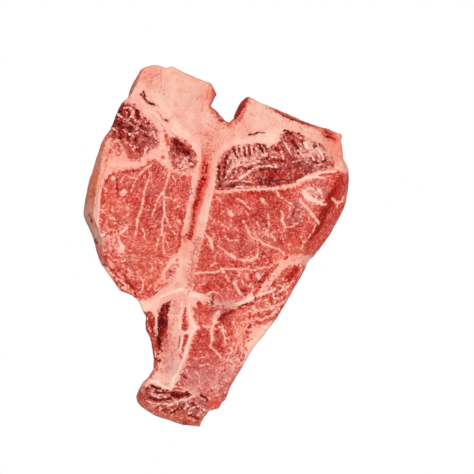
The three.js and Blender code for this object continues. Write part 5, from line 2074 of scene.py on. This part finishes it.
colour = mix(dark, colour, dark_tone)
# painted shade in the clefts
colour = with_cleft_shade(at, colour)
relief = scaled(bundles["Fine"], 0.5)
finish_material(shader, at, colour, relief, 0.35, 0.45)
print("made", bone.name)

# %% Give the pieces their materials
MATERIALS = {"bone": bone, "lean": lean, "dark_lean": dark_lean, "fat": fat}
for row in frame["record"]["subparts"]:
    name, slot = row["node"], row["material_slot"]
    piece = pieces[name]
    piece.data.materials.append(MATERIALS[slot])
    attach(piece, "root")
    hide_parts(name)
print("materials on", len(pieces), "pieces")

# %% [markdown]
# ## Floor, light and camera
# The steak lies on white paper that shows no edge and no shadow. A pale floor alone would turn grey
# in soft light, so the camera sees it glow evenly, while the steak still gets the light that a plain
# pale sheet throws back.

# %% Floor
FLOOR = 1.5
floor_corners = [(-FLOOR, -FLOOR, 0), (FLOOR, -FLOOR, 0), (FLOOR, FLOOR, 0), (-FLOOR, FLOOR, 0)]
floor_mesh = bpy.data.meshes.new("floor")
floor_mesh.from_pydata(floor_corners, [], [(0, 1, 2, 3)])
floor = bpy.data.objects.new("floor", floor_mesh)
bpy.context.scene.collection.objects.link(floor)
paper = bpy.data.materials.new("white_paper")
paper.use_nodes = True
Bench.tree = paper.node_tree
paper_shader = Bench.tree.nodes["Principled BSDF"]
paper_shader.inputs["Base Color"].default_value = srgb(232, 230, 228)
paper_shader.inputs["Roughness"].default_value = 1.0
paper_shader.inputs["Specular IOR Level"].default_value = 0.0
glow = add_node("Emission", {"Color": (1, 1, 1, 1), "Strength": 1.0})
seen = add_node("LightPath").outputs["Is Camera Ray"]
both = add_node("MixShader", {0: seen, 1: paper_shader.outputs[0], 2: glow.outputs[0]})
join(both.outputs[0], Bench.tree.nodes["Material Output"].inputs["Surface"])
floor_mesh.materials.append(paper)
floor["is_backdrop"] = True
print("floor", 2 * FLOOR, "m wide")

# %% [markdown]
# The light is that of a bright room: a white world, a large lamp from the upper left and a weaker
# one from the lower right, so that the low relief shows without hard shadows.

# %% Light
ROOM_LIGHT = 0.64
world = bpy.data.worlds.new("soft_room")
bpy.context.scene.world = world
world.use_nodes = True
world.node_tree.nodes["Background"].inputs["Color"].default_value = (1, 1, 1, 1)
world.node_tree.nodes["Background"].inputs["Strength"].default_value = ROOM_LIGHT


def soft_lamp(name, at, size, power):
    """A square lamp in metres and watts that faces the steak."""
    lamp = bpy.data.lights.new(name, "AREA")
    lamp.size = size
    lamp.energy = power
    holder = bpy.data.objects.new(name, lamp)
    holder.location = at
    toward = -holder.location
    holder.rotation_euler = toward.to_track_quat("-Z", "Y").to_euler()
    bpy.context.scene.collection.objects.link(holder)
    return holder


soft_lamp("key_lamp", (-0.35, 0.45, 1.1), 0.7, 4.6)
soft_lamp("fill_lamp", (0.50, -0.45, 0.8), 0.8, 2.4)
bpy.context.scene.view_settings.view_transform = "Standard"
print("room light", ROOM_LIGHT)

# %% [markdown]
# The steak is seen straight from above and from far away, so its sides hardly show. A long lens does
# that, and its distance follows from the width of the picture at the height of the cut face.

# %% Camera
PICTURE_SIZE = 474
LENS = 300
SENSOR = 36
camera_data = bpy.data.cameras.new("camera")
camera_data.lens = LENS
camera_data.sensor_width = SENSOR
camera = bpy.data.objects.new("camera", camera_data)
picture_width = PICTURE_SIZE * POINT * MM
middle = place([(PICTURE_SIZE / 2, PICTURE_SIZE / 2)])[0] * MM
camera.location = (middle[0], middle[1], picture_width * LENS / SENSOR + THICKNESS * MM)
bpy.context.scene.collection.objects.link(camera)
bpy.context.scene.camera = camera
print("camera", [round(v, 3) for v in camera.location])

# %% [markdown]
# At the end the box of the dressed steak is worked out.

# %% Box of the dressed steak
low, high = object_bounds()
